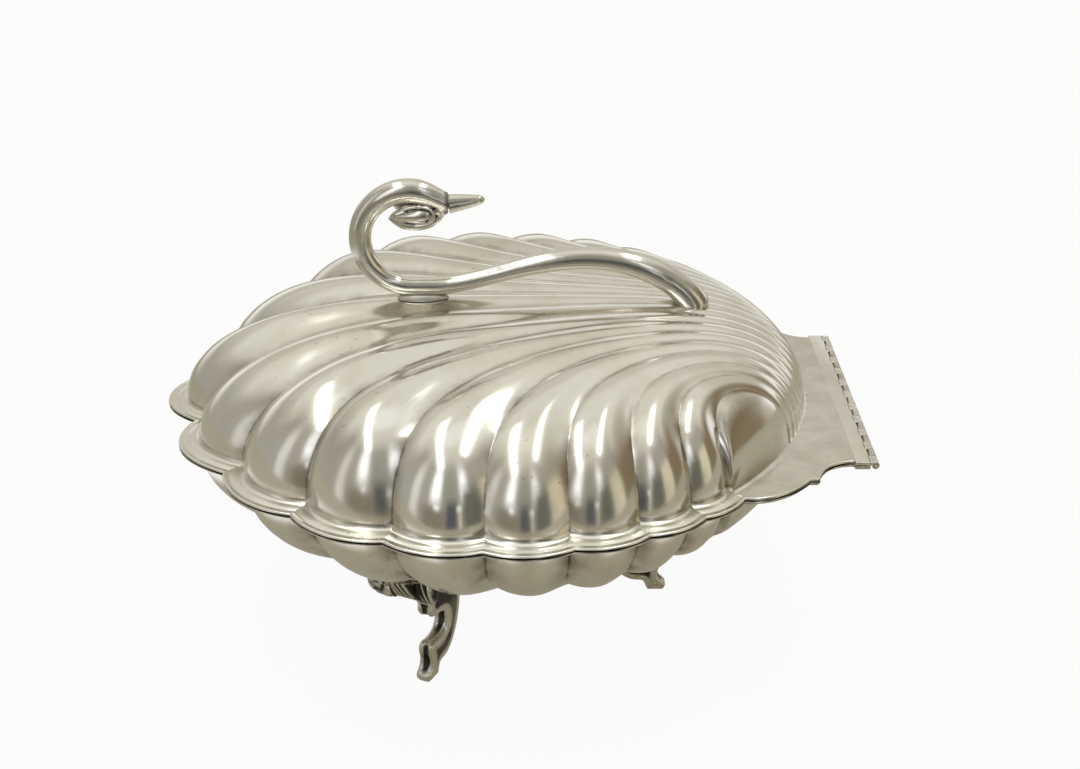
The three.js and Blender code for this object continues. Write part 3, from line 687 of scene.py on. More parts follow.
# %% Sweep a section along a path
def sweep(name, centres, heights, widths, sides, sideways=(0, 1, 0), section=None):
    piece = begin(name, bpy.ops.mesh.primitive_circle_add, vertices=sides, radius=1, fill_type="NGON")
    edit_all(piece)
    for _ in range(len(centres) - 1):
        bpy.ops.mesh.extrude_region_move(TRANSFORM_OT_translate={"value": (0, 0, 1)})
    bpy.ops.object.mode_set(mode="OBJECT")
    stack = points_of(piece)
    number = np.rint(stack[:, 2]).astype(int)
    tangents = np.gradient(centres, axis=0)
    tangents /= np.linalg.norm(tangents, axis=1, keepdims=True)
    side = np.asarray(sideways, float)
    side = side - tangents * (tangents @ side)[:, None]
    side /= np.linalg.norm(side, axis=1, keepdims=True)
    upward = np.cross(tangents, side)
    angle = np.arctan2(stack[:, 1], stack[:, 0])
    swell = np.ones_like(angle) if section is None else section(angle, number / number.max())
    high = heights[number] / 2 * np.sin(angle) * swell
    wide = widths[number] / 2 * np.cos(angle) * swell
    placed = centres[number] + upward[number] * high[:, None] + side[number] * wide[:, None]
    place_points(piece, placed * MM)
    face_outwards(piece)
    return piece


def chained(start, *runs):
    """Bezier curves that each start where the last one ended, from three points a curve."""
    curves = []
    for run in runs:
        curves.append((start, *run))
        start = run[-1]
    return curves


def even_stations(curves, count):
    """Points at even steps along a chain of Bezier curves, each given as four points."""
    fine = np.concatenate([bezier(*np.array(curve, float), np.linspace(0, 1, 80))
                           for curve in curves])
    steps = np.linalg.norm(np.diff(fine, axis=0), axis=1)
    fine = fine[np.concatenate([[True], steps > TINY])]
    along = np.concatenate([[0], np.cumsum(np.linalg.norm(np.diff(fine, axis=0), axis=1))])
    wanted = np.linspace(0, along[-1], count)
    return np.stack([np.interp(wanted, along, line) for line in fine.T], -1), wanted


def upright_plane(points):
    """Points given as x and z, placed in the plane of symmetry."""
    return np.stack([points[:, 0], np.zeros(len(points)), points[:, 1]], -1)


def melt(piece, voxel, rounds):
    """Fuses overlapping parts into one skin with soft inner corners, as a casting has."""
    make_active(piece)
    piece.data.remesh_voxel_size = voxel * MM
    piece.data.remesh_voxel_adaptivity = 0
    bpy.ops.object.voxel_remesh()
    apply_modifier(piece, "SMOOTH", factor=0.5, iterations=rounds)


def cut_away(piece, cutter):
    apply_modifier(piece, "BOOLEAN", operation="DIFFERENCE", object=cutter, solver="MANIFOLD")


def mark_hollows(piece, rounds, gain, grime_and_shade=0.0):
    """Stores how hollow the surface is at each vertex, with any dark joint line and painted shade
    added, for the material's blackening to follow.
    """
    points = points_of(piece) / MM
    a, b = read_all(piece.data.edges, "vertices", 2, int).T
    count = np.bincount(np.concatenate([a, b]), minlength=len(points)).astype(float)

    def average(values):
        total = np.zeros_like(values)
        np.add.at(total, a, values[b])
        np.add.at(total, b, values[a])
        return total / count.reshape((-1,) + (1,) * (values.ndim - 1))

    spread = points
    for _ in range(rounds):
        spread = average(spread)
    hollow = ((spread - points) * normals_of(piece)).sum(1) * gain
    for _ in range(rounds):
        hollow = average(hollow)
    store_value(piece, "hollow", np.clip(hollow + grime_and_shade, -1, 1))


# %% [markdown]
# The neck's path: a flat leaf of a tail on the dome, a hump, a low run over the saddle, and a
# curl that carries the head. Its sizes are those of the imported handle. A place on it is given
# by its distance from the hinge line and its height.

# %% The neck's path
NECK_X, NECK_R, NECK_D, CURL_D = 161.4, 18.0, 6.8, 8.6
SADDLE_H, SADDLE_LENGTH, SADDLE_WIDTH, SADDLE_AHEAD = 0.9, 19.0, 7.0, 4.0
HUMP_X, HUMP_RISE, HUMP_D = 98.0, 10.6, 8.3
TAIL_X, TAIL_SINK, TAIL_WIDTH, TAIL_D, TAIL_STUD_X = 58.0, 2.0, 12.0, 10.4, 61.0
BEAK_X, BEAK_DROP, BEAK_D, HEAD_D = 147.8, 4.9, 6.9, 8.8
SADDLE_X = NECK_X - SADDLE_AHEAD
LID_TOP = RIM_Z + SEAM / 2 + SHEET
RUN_Z = LID_TOP + LID_H + SADDLE_H + NECK_D / 2
CROWN_Z = RUN_Z + 2 * NECK_R
BEAK_ROOT = np.array([HINGE_X - BEAK_X, CROWN_Z - BEAK_DROP])
QUARTER = 0.5523  # a Bezier handle's length for a quarter circle of radius 1


def crest_height(from_hinge):
    height_at, _ = LID_FORM
    return LID_TOP + float(height_at(np.array([HINGE_BACK - from_hinge, 0.0])))


def neck_curves():
    def at(from_hinge, z):
        return (HINGE_X - from_hinge, z)

    top, tail = RUN_Z + HUMP_RISE, crest_height(TAIL_X) - TAIL_SINK
    curl, middle, handle = NECK_X + NECK_R, RUN_Z + NECK_R, QUARTER * NECK_R
    return chained(
        at(TAIL_X - 3.2, tail - 4.4),
        (at(TAIL_X - 2, tail - 2.8), at(TAIL_X - 1, tail - 1.4), at(TAIL_X, tail)),
        (at(TAIL_X + 6, lerp(tail, top, 0.55)), at(HUMP_X - 19, top), at(HUMP_X, top)),
        (at(HUMP_X + 22, top), at(NECK_X - 23, RUN_Z), at(NECK_X - 7, RUN_Z)),
        (at(NECK_X - 5, RUN_Z), at(NECK_X - 2, RUN_Z), at(NECK_X, RUN_Z)),
        (at(NECK_X + handle, RUN_Z), at(curl, middle - handle), at(curl, middle)),
        (at(curl, middle + handle), at(NECK_X + handle, CROWN_Z), at(NECK_X, CROWN_Z)),
        (at(NECK_X - 6, CROWN_Z), BEAK_ROOT + (-4, 1.5), BEAK_ROOT + (1.2, -0.2)),
    )


NECK, NECK_ALONG = even_stations(neck_curves(), 150)


def neck_share(from_hinge, z):
    """Share of the neck's length at the station nearest to a place."""
    nearest = np.argmin(np.hypot(NECK[:, 0] - HINGE_X + from_hinge, NECK[:, 1] - z))
    return NECK_ALONG[nearest] / NECK_ALONG[-1]


# Share of the neck's length, then the section's height and width there.
STOPS, TALL, WIDE = np.array([
    (0.0, TAIL_D * 0.6, TAIL_WIDTH * 0.6),
    (neck_share(TAIL_X, crest_height(TAIL_X)), TAIL_D + 0.5, TAIL_WIDTH + 0.4),
    (neck_share(70, RIM_Z + 46), TAIL_D - 0.6, TAIL_WIDTH - 1.5),
    (neck_share(HUMP_X, RUN_Z + HUMP_RISE), HUMP_D, HUMP_D),
    (neck_share(134, RUN_Z), NECK_D - 0.3, NECK_D - 0.3),
    (neck_share(NECK_X, RUN_Z), NECK_D, NECK_D),
    (neck_share(NECK_X + NECK_R, RUN_Z + NECK_R), CURL_D - 0.6, CURL_D - 0.6),
    (neck_share(NECK_X, CROWN_Z), HEAD_D, HEAD_D * 0.95),
    (1.0, BEAK_D, BEAK_D - 0.2),
]).T


def along_neck(values):
    """Smooth change from stop to stop along the neck."""
    share = NECK_ALONG / NECK_ALONG[-1]
    k = np.clip(np.searchsorted(STOPS, share, side="right") - 1, 0, len(STOPS) - 2)
    return lerp(values[k], values[k + 1], smoothstep(share, STOPS[k], STOPS[k + 1]))


NECK_LINE, NECK_TALL, NECK_WIDE = upright_plane(NECK), along_neck(TALL), along_neck(WIDE)
print(f"neck is {NECK_ALONG[-1]:.0f} mm long")

# %% [markdown]
# Under the head hangs a leaf scroll: a plump teardrop with a rim that runs over it, round its
# front and back inside as a small volute. It is the same on both sides. The pieces overlap and
# are melted together, which leaves the soft inner corners of a casting.

# %% The head and its scroll
SCROLL_TALL, SCROLL_WIDE, SCROLL_BOW = 7.8, 6.4, 0.3
LIP_THICK, VOLUTE_THICK = 2.7, 1.25
# All places on the head are given forwards and up from the beak's root.
SCROLL_BACK, SCROLL_FRONT = (-20.8, -5.3), (-4.6, -3.9)
LIP = chained((-0.7, -2.5), ((-2.8, -5.0), (-5.6, -8.2), (-10.4, -8.6)),
              ((-15.0, -9.0), (-18.6, -7.4), (-21.0, -5.2)))
VOLUTE = chained((-20.8, -5.0), ((-17.6, -1.9), (-13.4, -0.8), (-9.6, -0.8)),
                 ((-6.2, -0.8), (-4.7, -2.0), (-4.9, -3.9)),
                 ((-5.2, -6.0), (-8.4, -7.4), (-12.2, -7.4)))
# Webs of metal that close the crevice over the scroll and the throat: place, then half sizes.
WEBS = [((-8.3, -0.2), (6.6, 1.1, 1.2)), ((-13.6, -1.0), (5.6, 0.9, 1.9)),
        ((-3.0, -2.3), (3.4, 2.2, 2.1))]


def ribbon(name, curves, thick, offset, start=0.5, end=0.5):
    """A round bar along curves on one cheek of the head, thinner at its ends by a share."""
    path, along = even_stations([[BEAK_ROOT + p for p in curve] for curve in curves], 40)
    share = along / along[-1]
    taper = np.minimum(lerp(start, 1, smoothstep(share, -0.02, 0.3)),
                       lerp(end, 1, smoothstep(1 - share, -0.02, 0.3)))
    centres = upright_plane(path)
    centres[:, 1] = offset(share)
    return sweep(name, centres, thick * taper, thick * taper, 14)


def teardrop():
    """The scroll's plump body, pointed at its back end."""
    share = eased(np.linspace(0, 1, 30))
    path = lerp(BEAK_ROOT + SCROLL_BACK, BEAK_ROOT + SCROLL_FRONT, share[:, None])
    path[:, 1] -= SCROLL_BOW * 4 * share * (1 - share)
    plump = np.maximum(share, 0.02) ** 0.7 * np.sqrt(np.maximum(1 - share**4, 0.02)) * 1.1
    return sweep("scroll_body", upright_plane(path), SCROLL_TALL * plump, SCROLL_WIDE * plump, 24)


def swan_head_parts():
    parts = [teardrop(), ribbon("scroll_lip", LIP, LIP_THICK, lambda s: 0 * s, 0.6, 0.4)]
    for cheek in (-1, 1):
        parts.append(ribbon(f"scroll_rim_{cheek + 1}", VOLUTE, VOLUTE_THICK,
                            lambda s, c=cheek: c * (0.9 + 2.0 * smoothstep(s, 0.35, 0.75))))
    for place, size in WEBS:
        web = begin("web", bpy.ops.mesh.primitive_uv_sphere_add, segments=32, ring_count=16, radius=1)
        x, z = BEAK_ROOT + place
        place_points(web, (points_of(web) * size + [x, 0, z]) * MM)
        parts.append(web)
    return parts


# %% [markdown]
# Two studs cast under the neck pass through the lid to their nuts. The head is cut off flat
# where the beak is let in. Only faces near the head are chosen for that cut, because the tail
# lies beyond the same plane. The neck's tail is left to run on through the lid's sheet.

# %% The swan
STUD_R, STUD_HANG = 1.5, 5.5
HEAD_REACH = 14.0  # how far the head and its scroll hang below the beak's root


def stud(name, from_hinge, top, radius=STUD_R):
    """A round bar from under the lid up to a height."""
    foot = crest_height(from_hinge) - SHEET - STUD_HANG
    piece = begin(name, bpy.ops.mesh.primitive_cylinder_add, vertices=24, radius=radius * MM,
                  depth=(top - foot) * MM)
    middle = np.array([HINGE_X - from_hinge, 0, (top + foot) / 2])
    place_points(piece, points_of(piece) + middle * MM)
    return piece


def cut_flat(piece, point, normal, lowest):
    """Cuts off what lies beyond a plane, above a height, and closes the cut."""
    make_active(piece)
    bpy.ops.object.mode_set(mode="EDIT")
    bpy.ops.mesh.select_all(action="DESELECT")
    bpy.ops.mesh.select_mode(type="FACE")
    bpy.ops.object.mode_set(mode="OBJECT")
    for face in piece.data.polygons:
        face.select = bool(face.center.z > lowest * MM)
    bpy.ops.object.mode_set(mode="EDIT")
    bpy.ops.mesh.bisect(plane_co=point, plane_no=normal, use_fill=True, clear_outer=True)
    bpy.ops.object.mode_set(mode="OBJECT")


neck = sweep("neck", NECK_LINE, NECK_TALL, NECK_WIDE, 40)
swan = fuse([neck] + swan_head_parts(), "swan_neck")
melt(swan, 0.32, 5)
cut_flat(swan, (BEAK_ROOT[0] * MM, 0, 0), (1, 0, 0), BEAK_ROOT[1] - HEAD_REACH)
forward, _, up = (points_of(swan) / MM - [BEAK_ROOT[0], 0, BEAK_ROOT[1]]).T
mark_hollows(swan, 8, 2.6, 0.6 * bell(forward, 1.2) * (up > -HEAD_REACH))
studs = [stud("saddle_stud", SADDLE_X, RUN_Z),
         stud("tail_stud", TAIL_STUD_X, crest_height(TAIL_STUD_X) + 2)]
swan = fuse([swan] + studs, "swan_neck")
finish_piece(swan, POLISHED, "lid", "swan_handle", 40)

# %% [markdown]
# A small cushion of metal is soldered on the dome where the neck touches down. It starts as a
# ball that is drawn out to a barrel with upright sides, and it is cut to the dome's crest
# below, to the round of the neck above and to the stud. The cut below is made with a solid in
# the shape of the space under the fluted sheet, and the feet are cut to the bowl the same way.

# %% Saddle
SADDLE_SINK, SADDLE_RISE, STUD_PLAY = 1.6, 2.9, 1.2
SEAT_GAP = 0.3


def shell_cutter(form, side):
    """The space that a shell fills, a little larger, as a solid to seat castings against it."""
    cutter = begin("shell_space", bpy.ops.mesh.primitive_grid_add, size=2,
                   x_subdivisions=(2 * RIBS + 2) * 8, y_subdivisions=34)
    x, y, _ = points_of(cutter).T
    p = shell_point(form, x * (LAST + 0.5), eased((y + 1) / 2 * 0.985 + 0.0075))
    _, normal_at = form
    place_points(cutter, world_points(p + normal_at(*p.T) * SEAT_GAP, side))
    border = extrude_border(cutter)
    points = points_of(cutter)
    points[border, 2] = RIM_Z * MM
    place_points(cutter, points)
    bpy.ops.object.mode_set(mode="EDIT")
    bpy.ops.mesh.fill()
    face_outwards(cutter)
    return cutter


saddle = begin("neck_saddle", bpy.ops.mesh.primitive_uv_sphere_add, segments=64,
               ring_count=32, radius=1)
ball = points_of(saddle)
ball[:, :2] *= np.sqrt(1 + ball[:, 2:] ** 2)
ball *= [SADDLE_LENGTH / 2, SADDLE_WIDTH / 2 - 0.1, SADDLE_H + SADDLE_RISE]
place_points(saddle, (ball + [HINGE_X - SADDLE_X, 0, LID_TOP + LID_H - SADDLE_SINK]) * MM)
lid_space = shell_cutter(LID_FORM, 1)
groove = sweep("neck_groove", NECK_LINE[::2], (NECK_TALL + 0.2)[::2], (NECK_WIDE + 0.2)[::2], 40)
bore = stud("stud_bore", SADDLE_X, RUN_Z, STUD_R * STUD_PLAY)
for cutter in (lid_space, groove, bore):
    cut_away(saddle, cutter)
    bpy.data.objects.remove(cutter)
mark_hollows(saddle, 2, 0.3)
finish_piece(saddle, WORN, "lid", "handle_saddle", 40)

# %% [markdown]
# The beak is a small piece of its own, let into the head with a visible joint. Its two halves
# meet in a groove that runs from the corner of the mouth to the tip.

# %% Beak
BEAK_LENGTH, BEAK_TIP_D, BEAK_LIFT, JOINT = 12.8, 2.7, 1.8, 0.3
BEAK_BASE, BEAK_ROUND = BEAK_ROOT[0] + JOINT, 0.14


def mouth_groove(angle, share):
    """A narrow groove low on each cheek, which fades towards the tip."""
    line = np.sin(angle) + 0.12 - 0.25 * share
    return 1 - 0.16 * bell(line, 0.12) * (1 - smoothstep(share, 0.75, 0.98))


share = eased(np.linspace(0, 1, 60))
beak_line = np.stack([BEAK_BASE + BEAK_LENGTH * share, 0 * share,
                      BEAK_ROOT[1] + BEAK_LIFT * share], -1)
round_tip = np.clip((share - 1 + BEAK_ROUND) / BEAK_ROUND, 0, 1)
beak_tall = lerp(BEAK_D, BEAK_TIP_D, share**1.3) * np.sqrt(np.maximum(1 - round_tip**2, 0.003))
beak = sweep("swan_bill", beak_line, beak_tall, beak_tall * lerp(0.80, 0.95, share), 40,
             section=mouth_groove)
mark_hollows(beak, 3, 4.0, 0.6 * bell(points_of(beak)[:, 0] / MM - BEAK_BASE, 0.7))
finish_piece(beak, POLISHED, "lid", "swan_beak", 60)

# %% [markdown]
# Each foot is one casting: a C-scroll leg with a knob and a toe, and a leaf wing on each side
# that hugs the bowl. From the knee of a front leg an acanthus leaf climbs the crease between
# two lobes. Leg, wings and leaf are modelled apart, melted together, chased with fine grooves
# and then cut to the bowl, so the casting fits the flutes as if it had been filed to them.

# %% The leg's outline
FRONT_FOOT_AT, FRONT_FOOT_R, REAR_FOOT_R = 65.0, 49.0, 39.0
LEG_WIDTH, LEG_TOP = 6.0, RIM_Z - BOWL_H / 2
# Distance out from the leg's root, and height.
LEG_CURVES = chained(
    (-4, LEG_TOP),
    ((-4.5, 36), (-4, 30), (-3, 23)),  # back of the leg
    ((-1.8, 14), (2.5, 6.6), (8, 4.6)),
    ((10, 3.8), (12, 4.4), (13.2, 3.8)),
    ((14.2, 3), (14.4, 0), (15.6, 0)),  # heel and sole
    ((17, 0), (19, 0), (20.4, 0)),
    ((22.4, 0), (22.8, 2.4), (21.2, 3.6)),  # toe
    ((19.4, 4.8), (18.8, 6.4), (19.2, 8.4)),
    ((20.8, 12), (19.4, 15), (16.4, 14.4)),  # scroll over the toe
    ((12.6, 13.8), (8.2, 14), (7.4, 18.4)),
    ((7, 22.4), (10.4, 24), (13.6, 24.2)),  # inside of the C
    ((17.8, 24.4), (20.6, 27), (19.4, 30.2)),  # knob
    ((18.4, 32.8), (20, 34.4), (24, 36)),
    ((31, 39), (38, 46), (41, LEG_TOP)),  # knee, inside the bowl
)
CURVE_STEPS = np.linspace(0, 1, 9, endpoint=False)
LEG_LINE = np.concatenate([bezier(*np.array(curve, float), CURVE_STEPS) for curve in LEG_CURVES])
LEG_RUN = np.roll(LEG_LINE, -1, 0) - np.roll(LEG_LINE, 1, 0)
LEG_OUT = np.stack([LEG_RUN[:, 1], -LEG_RUN[:, 0]], -1) / np.linalg.norm(LEG_RUN, axis=1)[:, None]


def leg_blank(name):
    """The leg's outline cut from a plate as thick as the leg is wide."""
    leg = begin(name, bpy.ops.mesh.primitive_circle_add, vertices=len(LEG_LINE), radius=1,
                fill_type="NGON")
    out, height = LEG_LINE.T
    place_points(leg, np.stack([out, np.full_like(out, -LEG_WIDTH / 2), height], -1) * MM)
    edit_all(leg)
    bpy.ops.mesh.extrude_region_move(TRANSFORM_OT_translate={"value": (0, LEG_WIDTH * MM, 0)})
    face_outwards(leg)
    return leg


# %% Wings and leaves
WING_LONG, WING_SHORT, WING_OUT, WING_THICK = 21.0, 9.0, 25.0, 9.0
WING_HANG, WING_DROP = 6.0, 10.5
LEAF_THICK, LEAF_SINK, LEAF_FACING = 1.7, 0.35, (0.6, 0.0, -0.8)
BOWL_TOP = RIM_Z - SEAM / 2 - SHEET
# Each blade's lobe numbers and places along the rib, then its width.
FRONT_LEAF = [
    ([(3.50, 0.62), (3.50, 0.74), (3.49, 0.85), (3.47, 0.935)], 2.6),
    ([(3.42, 0.64), (3.38, 0.74), (3.33, 0.83), (3.31, 0.875)], 2.4),
    ([(3.36, 0.62), (3.24, 0.72), (3.14, 0.80), (3.08, 0.835)], 2.3),
    ([(3.60, 0.64), (3.63, 0.73), (3.66, 0.81), (3.68, 0.86)], 2.2),
    ([(3.26, 0.62), (3.10, 0.69), (2.98, 0.75), (2.90, 0.775)], 2.2),
]


def wing_seat(from_centre):
    """The bowl's height where a foot's wings lie."""
    height_at, _ = BOWL_FORM
    return BOWL_TOP - float(height_at(np.array([from_centre + WING_OUT, 0.0])))


def turned(x, y, angle):
    """Two coordinates turned about the upright axis."""
    cos, sin = math.cos(angle), math.sin(angle)
    return x * cos - y * sin, x * sin + y * cos


def wing(name, from_centre, left, right):
    """Both wings as one band round the bowl, thin at its ends."""
    reach = from_centre + WING_OUT
    w = lerp(-left, right, eased(np.linspace(0, 1, 60)))
    side = np.where(w < 0, left, right)
    ends = np.sqrt(1 - np.clip((np.abs(w) / side - 0.72) / 0.28, 0, 0.999) ** 2)
    hang = lerp(WING_HANG, WING_DROP, smoothstep(np.abs(w), 0, 0.45 * WING_LONG)) * ends
    angle = w / reach
    centres = np.stack([reach * np.cos(angle) - from_centre, reach * np.sin(angle),
                        np.full_like(w, wing_seat(from_centre))], -1)
    return sweep(name, centres, 2 * hang, WING_THICK * ends, 30, (1, 0, 0))


def leaf_blade(name, from_centre, turn, stations, wide):
    """A blade that lies on the bowl along a line of (lobe number, place along the rib)."""
    steps = np.linspace(0, 1, 26)
    knots = np.linspace(0, 1, len(stations))
    u, t = (np.interp(steps, knots, line) for line in zip(*stations))
    p = shell_point(BOWL_FORM, u, t)
    x, y = turned(p[:, 0], p[:, 1], -turn)
    centres = np.stack([x - from_centre, y, BOWL_TOP - p[:, 2] - LEAF_SINK], -1)
    taper = np.sqrt(np.clip(4 * steps * (1 - steps) * 1.1, 0.06, 1))
    tangent = np.gradient(centres, axis=0).mean(0)
    return sweep(name, centres, LEAF_THICK * taper, wide * taper, 14,
                 np.cross(LEAF_FACING, tangent))


# %% Chasing a foot
EDGE_START, EDGE_END, EDGE_DEPTH = 1.3, 3.0, 1.5  # rounding of the leg's two long edges
CHANNEL_DEPTH, CHANNEL_HALF = 0.9, 1.7
LINE_DEPTH, LINE_IN, LINE_WIDTH = 0.45, 1.7, 0.42
VEIN_DEPTH, CURL_DEPTH, KNEE_DEPTH = 0.42, 0.28, 0.35


def chase(piece, from_centre):
    """Carves the channel down the leg, its scroll line, and the veins of the wings."""
    points, normals = points_of(piece) / MM, normals_of(piece)
    r, w, z = points.T
    gap, outward = np.full(len(points), 99.0), np.zeros((len(points), 2))
    for (x, y), out in zip(LEG_LINE, LEG_OUT):
        here = np.hypot(r - x, z - y)
        outward[here < gap] = out
        gap = np.minimum(gap, here)
    on_leg = (np.abs(w) < LEG_WIDTH / 2 + 0.3) & (z < 31)
    edge = np.clip((np.abs(w) - EDGE_START) / (EDGE_END - EDGE_START), 0, 1)
    inward = on_leg * EDGE_DEPTH * (1 - np.sqrt(1 - 0.96 * edge**2)) * smoothstep(2.6 - gap, 0, 1.6)
    points[:, 0] -= outward[:, 0] * inward
    points[:, 2] -= outward[:, 1] * inward
    front = np.clip(normals[:, 0], 0, 1) * on_leg * (gap < 1.5)
    channel = np.clip(1 - (w / CHANNEL_HALF) ** 2, 0, 1) * smoothstep(z, 2, 6)
    flat_side = np.abs(normals[:, 1]) ** 2 * on_leg
    line = flat_side * bell(gap - LINE_IN, LINE_WIDTH)
    drop = wing_seat(from_centre) - z
    on_wing = smoothstep(np.abs(w), LEG_WIDTH / 2, LEG_WIDTH / 2 + 1.5) * (z > 20)
    fan = np.arctan2(np.abs(w) - 1.0, drop + 13.0)
    veins = np.abs(np.sin(11.0 * fan + 0.5 * np.sin(0.9 * w)))
    curls = np.sin(1.25 * np.hypot(np.abs(w) - 14.0, drop - 4.0) + 0.4 * np.arctan2(drop - 4, w))
    wing_carving = VEIN_DEPTH * (1 - veins) ** 2 + CURL_DEPTH * (0.5 - 0.5 * curls)
    knee = (z > 33) * (np.abs(w) < 8) * np.abs(np.sin(1.5 * w + 0.25 * z)) ** 3
    depth = (CHANNEL_DEPTH * front * channel + LINE_DEPTH * line + on_wing * wing_carving
             + KNEE_DEPTH * knee)
    place_points(piece, (points - normals * depth[:, None]) * MM)


# %% The three feet
TOE_FLAT, TOE_PRESS = 0.35, 0.2  # below this height the toe is pressed flat, to this share


def make_foot(name, node, from_centre, angle, left, right, leaf_side, grime_and_shade):
    parts = [leg_blank(name + "_leg"), wing(name + "_wing", from_centre, left, right)]
    if leaf_side:
        for number, (stations, wide) in enumerate(FRONT_LEAF):
            on_side = [(leaf_side * u, t) for u, t in stations]
            parts.append(leaf_blade(f"{name}_leaf_{number}", from_centre, angle, on_side, wide))
    piece = fuse(parts, name)
    melt(piece, 0.26, 4)
    chase(piece, from_centre)
    out, side, height = points_of(piece).T / MM
    x, y = turned(out + from_centre, side, angle)
    place_points(piece, np.stack([x + CENTRE_X, y, height], -1) * MM)
    cut_away(piece, BOWL_SPACE)
    x, y, height = points_of(piece).T / MM
    height = np.where(height < TOE_FLAT, np.maximum(height * TOE_PRESS, 0), height)
    place_points(piece, np.stack([x, y, height], -1) * MM)
    # Painted shade: a whole foot darkened by the given amount, the leg's sides by how much they face
    # across, and the foot towards its top, under the bowl.
    across = normals_of(piece) @ [-math.sin(angle), math.cos(angle), 0]
    painted_shade = grime_and_shade + 0.22 * across**2 + 0.12 * smoothstep(height, 24, 32)
    mark_hollows(piece, 6, 7.0, painted_shade)
    finish_piece(piece, TARNISHED, "dish", node, 45)


BOWL_SPACE = shell_cutter(BOWL_FORM, -1)
NEAR = math.radians(180 + FRONT_FOOT_AT)
# The last number is painted shade over a whole foot; the rear foot gets some, as it stands in the
# bowl's shadow.
make_foot("near_scroll_foot", "foot_front_near", FRONT_FOOT_R, NEAR, WING_LONG, WING_SHORT, -1, 0.0)
make_foot("far_scroll_foot", "foot_front_far", FRONT_FOOT_R, -NEAR, WING_SHORT, WING_LONG, 1, 0.0)
make_foot("rear_scroll_foot", "foot_rear", REAR_FOOT_R, 0.0, WING_LONG, WING_LONG, 0, 0.08)
bpy.data.objects.remove(BOWL_SPACE)

# %% [markdown]
# The hinge is a strip butted on each plate, with tabs rolled into knuckles round a wire. Each
# knuckle is a short tube with softened ends, so the row shows the small dark notches that a
# rolled hinge has. The nuts inside the lid are plain hexagons with filed corners.

# %% Hinge
KNUCKLES, KNUCKLE_GAP, BARREL_D, BARREL_PLAY = 21, 0.3, 2.7, 0.35
LEAF_SHEET, PIN_D, PIN_PLAY, PIN_PAST = 1.2, 1.2, 0.2, 0.3
STRIP_ROUND, KNUCKLE_ROUND, PIN_ROUND = 0.18, 0.14, 0.2
TAB_LAP, TAB_SHORT = 0.5, 0.1  # how far a tab runs into its strip, and stops short of the wire


def lay_grain(piece, darkening):
    """Gives a small piece the numbers that the plate's material reads."""
    points = points_of(piece) / MM
    store_grain(piece, points * [0.9, 0.12, 0.9])
    store_value(piece, "crease_and_shade", np.full(len(points), darkening))
    store_value(piece, "rim", np.ones(len(points)))


def rounded_block(name, low, high, radius):
    piece = begin(name, bpy.ops.mesh.primitive_cube_add, size=1)
    low, high = np.array(low), np.array(high)
    place_points(piece, (points_of(piece) * (high - low) + (low + high) / 2) * MM)
    apply_modifier(piece, "BEVEL", width=radius * MM, segments=3)
    return piece


def hinge_bar(name, sides, radius, start, end, ends):
    """A cylinder along the hinge line, open or closed at its ends."""
    piece = begin(name, bpy.ops.mesh.primitive_cylinder_add, vertices=sides, radius=1, depth=1,
                  end_fill_type=ends)
    x, y, z = points_of(piece).T
    bar = np.stack([x * radius + HINGE_X, lerp(start, end, z + 0.5), y * radius + RIM_Z], -1)
    place_points(piece, bar * MM)
    face_outwards(piece)
    return piece


def knuckle(name, start, end):
    tube = hinge_bar(name, 36, BARREL_D / 2, start, end, "NOTHING")
    wall = (BARREL_D - PIN_D) / 2 - PIN_PLAY
    apply_modifier(tube, "SOLIDIFY", thickness=wall * MM, offset=-1.0)
    apply_modifier(tube, "BEVEL", width=KNUCKLE_ROUND * MM, segments=2, limit_method="ANGLE")
    return tube


def hinge_strip(name, side, body, node, darkening):
    clear = BARREL_D / 2 + BARREL_PLAY
    low, high = sorted(RIM_Z + side * rise for rise in (SEAM / 2, SEAM / 2 + LEAF_SHEET))
    parts = [rounded_block(name, (HINGE_X - LEAF, -HINGE_LENGTH / 2, low),
                           (HINGE_X - clear, HINGE_LENGTH / 2, high), STRIP_ROUND)]
    pitch = HINGE_LENGTH / KNUCKLES
    for k in range(0 if side > 0 else 1, KNUCKLES, 2):
        start = -HINGE_LENGTH / 2 + k * pitch + (KNUCKLE_GAP / 2 if k else 0)
        end = -HINGE_LENGTH / 2 + (k + 1) * pitch - (KNUCKLE_GAP / 2 if k < KNUCKLES - 1 else 0)
        parts.append(knuckle(f"{name}_{k}", start, end))
        tab_end = HINGE_X - PIN_D / 2 - PIN_PLAY - TAB_SHORT
        parts.append(rounded_block(f"{name}_tab_{k}", (HINGE_X - clear - TAB_LAP, start, low),
                                   (tab_end, end, high), KNUCKLE_ROUND))
    strip = fuse(parts, name)
    lay_grain(strip, darkening)
    finish_piece(strip, PLATE, body, node, 40)


# The bowl's strip is drawn darker than the lid's, so its knuckles look darker.
hinge_strip("lid_hinge_leaf", 1, "lid", "lid_hinge_strip", 0.5)
hinge_strip("bowl_hinge_leaf", -1, "dish", "bowl_hinge_strip", 0.86)
WIRE_END = HINGE_LENGTH / 2 + PIN_PAST
wire = hinge_bar("hinge_wire", 32, PIN_D / 2, -WIRE_END, WIRE_END, "NGON")
apply_modifier(wire, "BEVEL", width=PIN_ROUND * MM, segments=3, limit_method="ANGLE")
lay_grain(wire, 0.5)
finish_piece(wire, PLATE, "dish", "hinge_pin", 40)

# %% Nuts
NUT_BORE_R, NUT_FILED = 1.8, 0.28


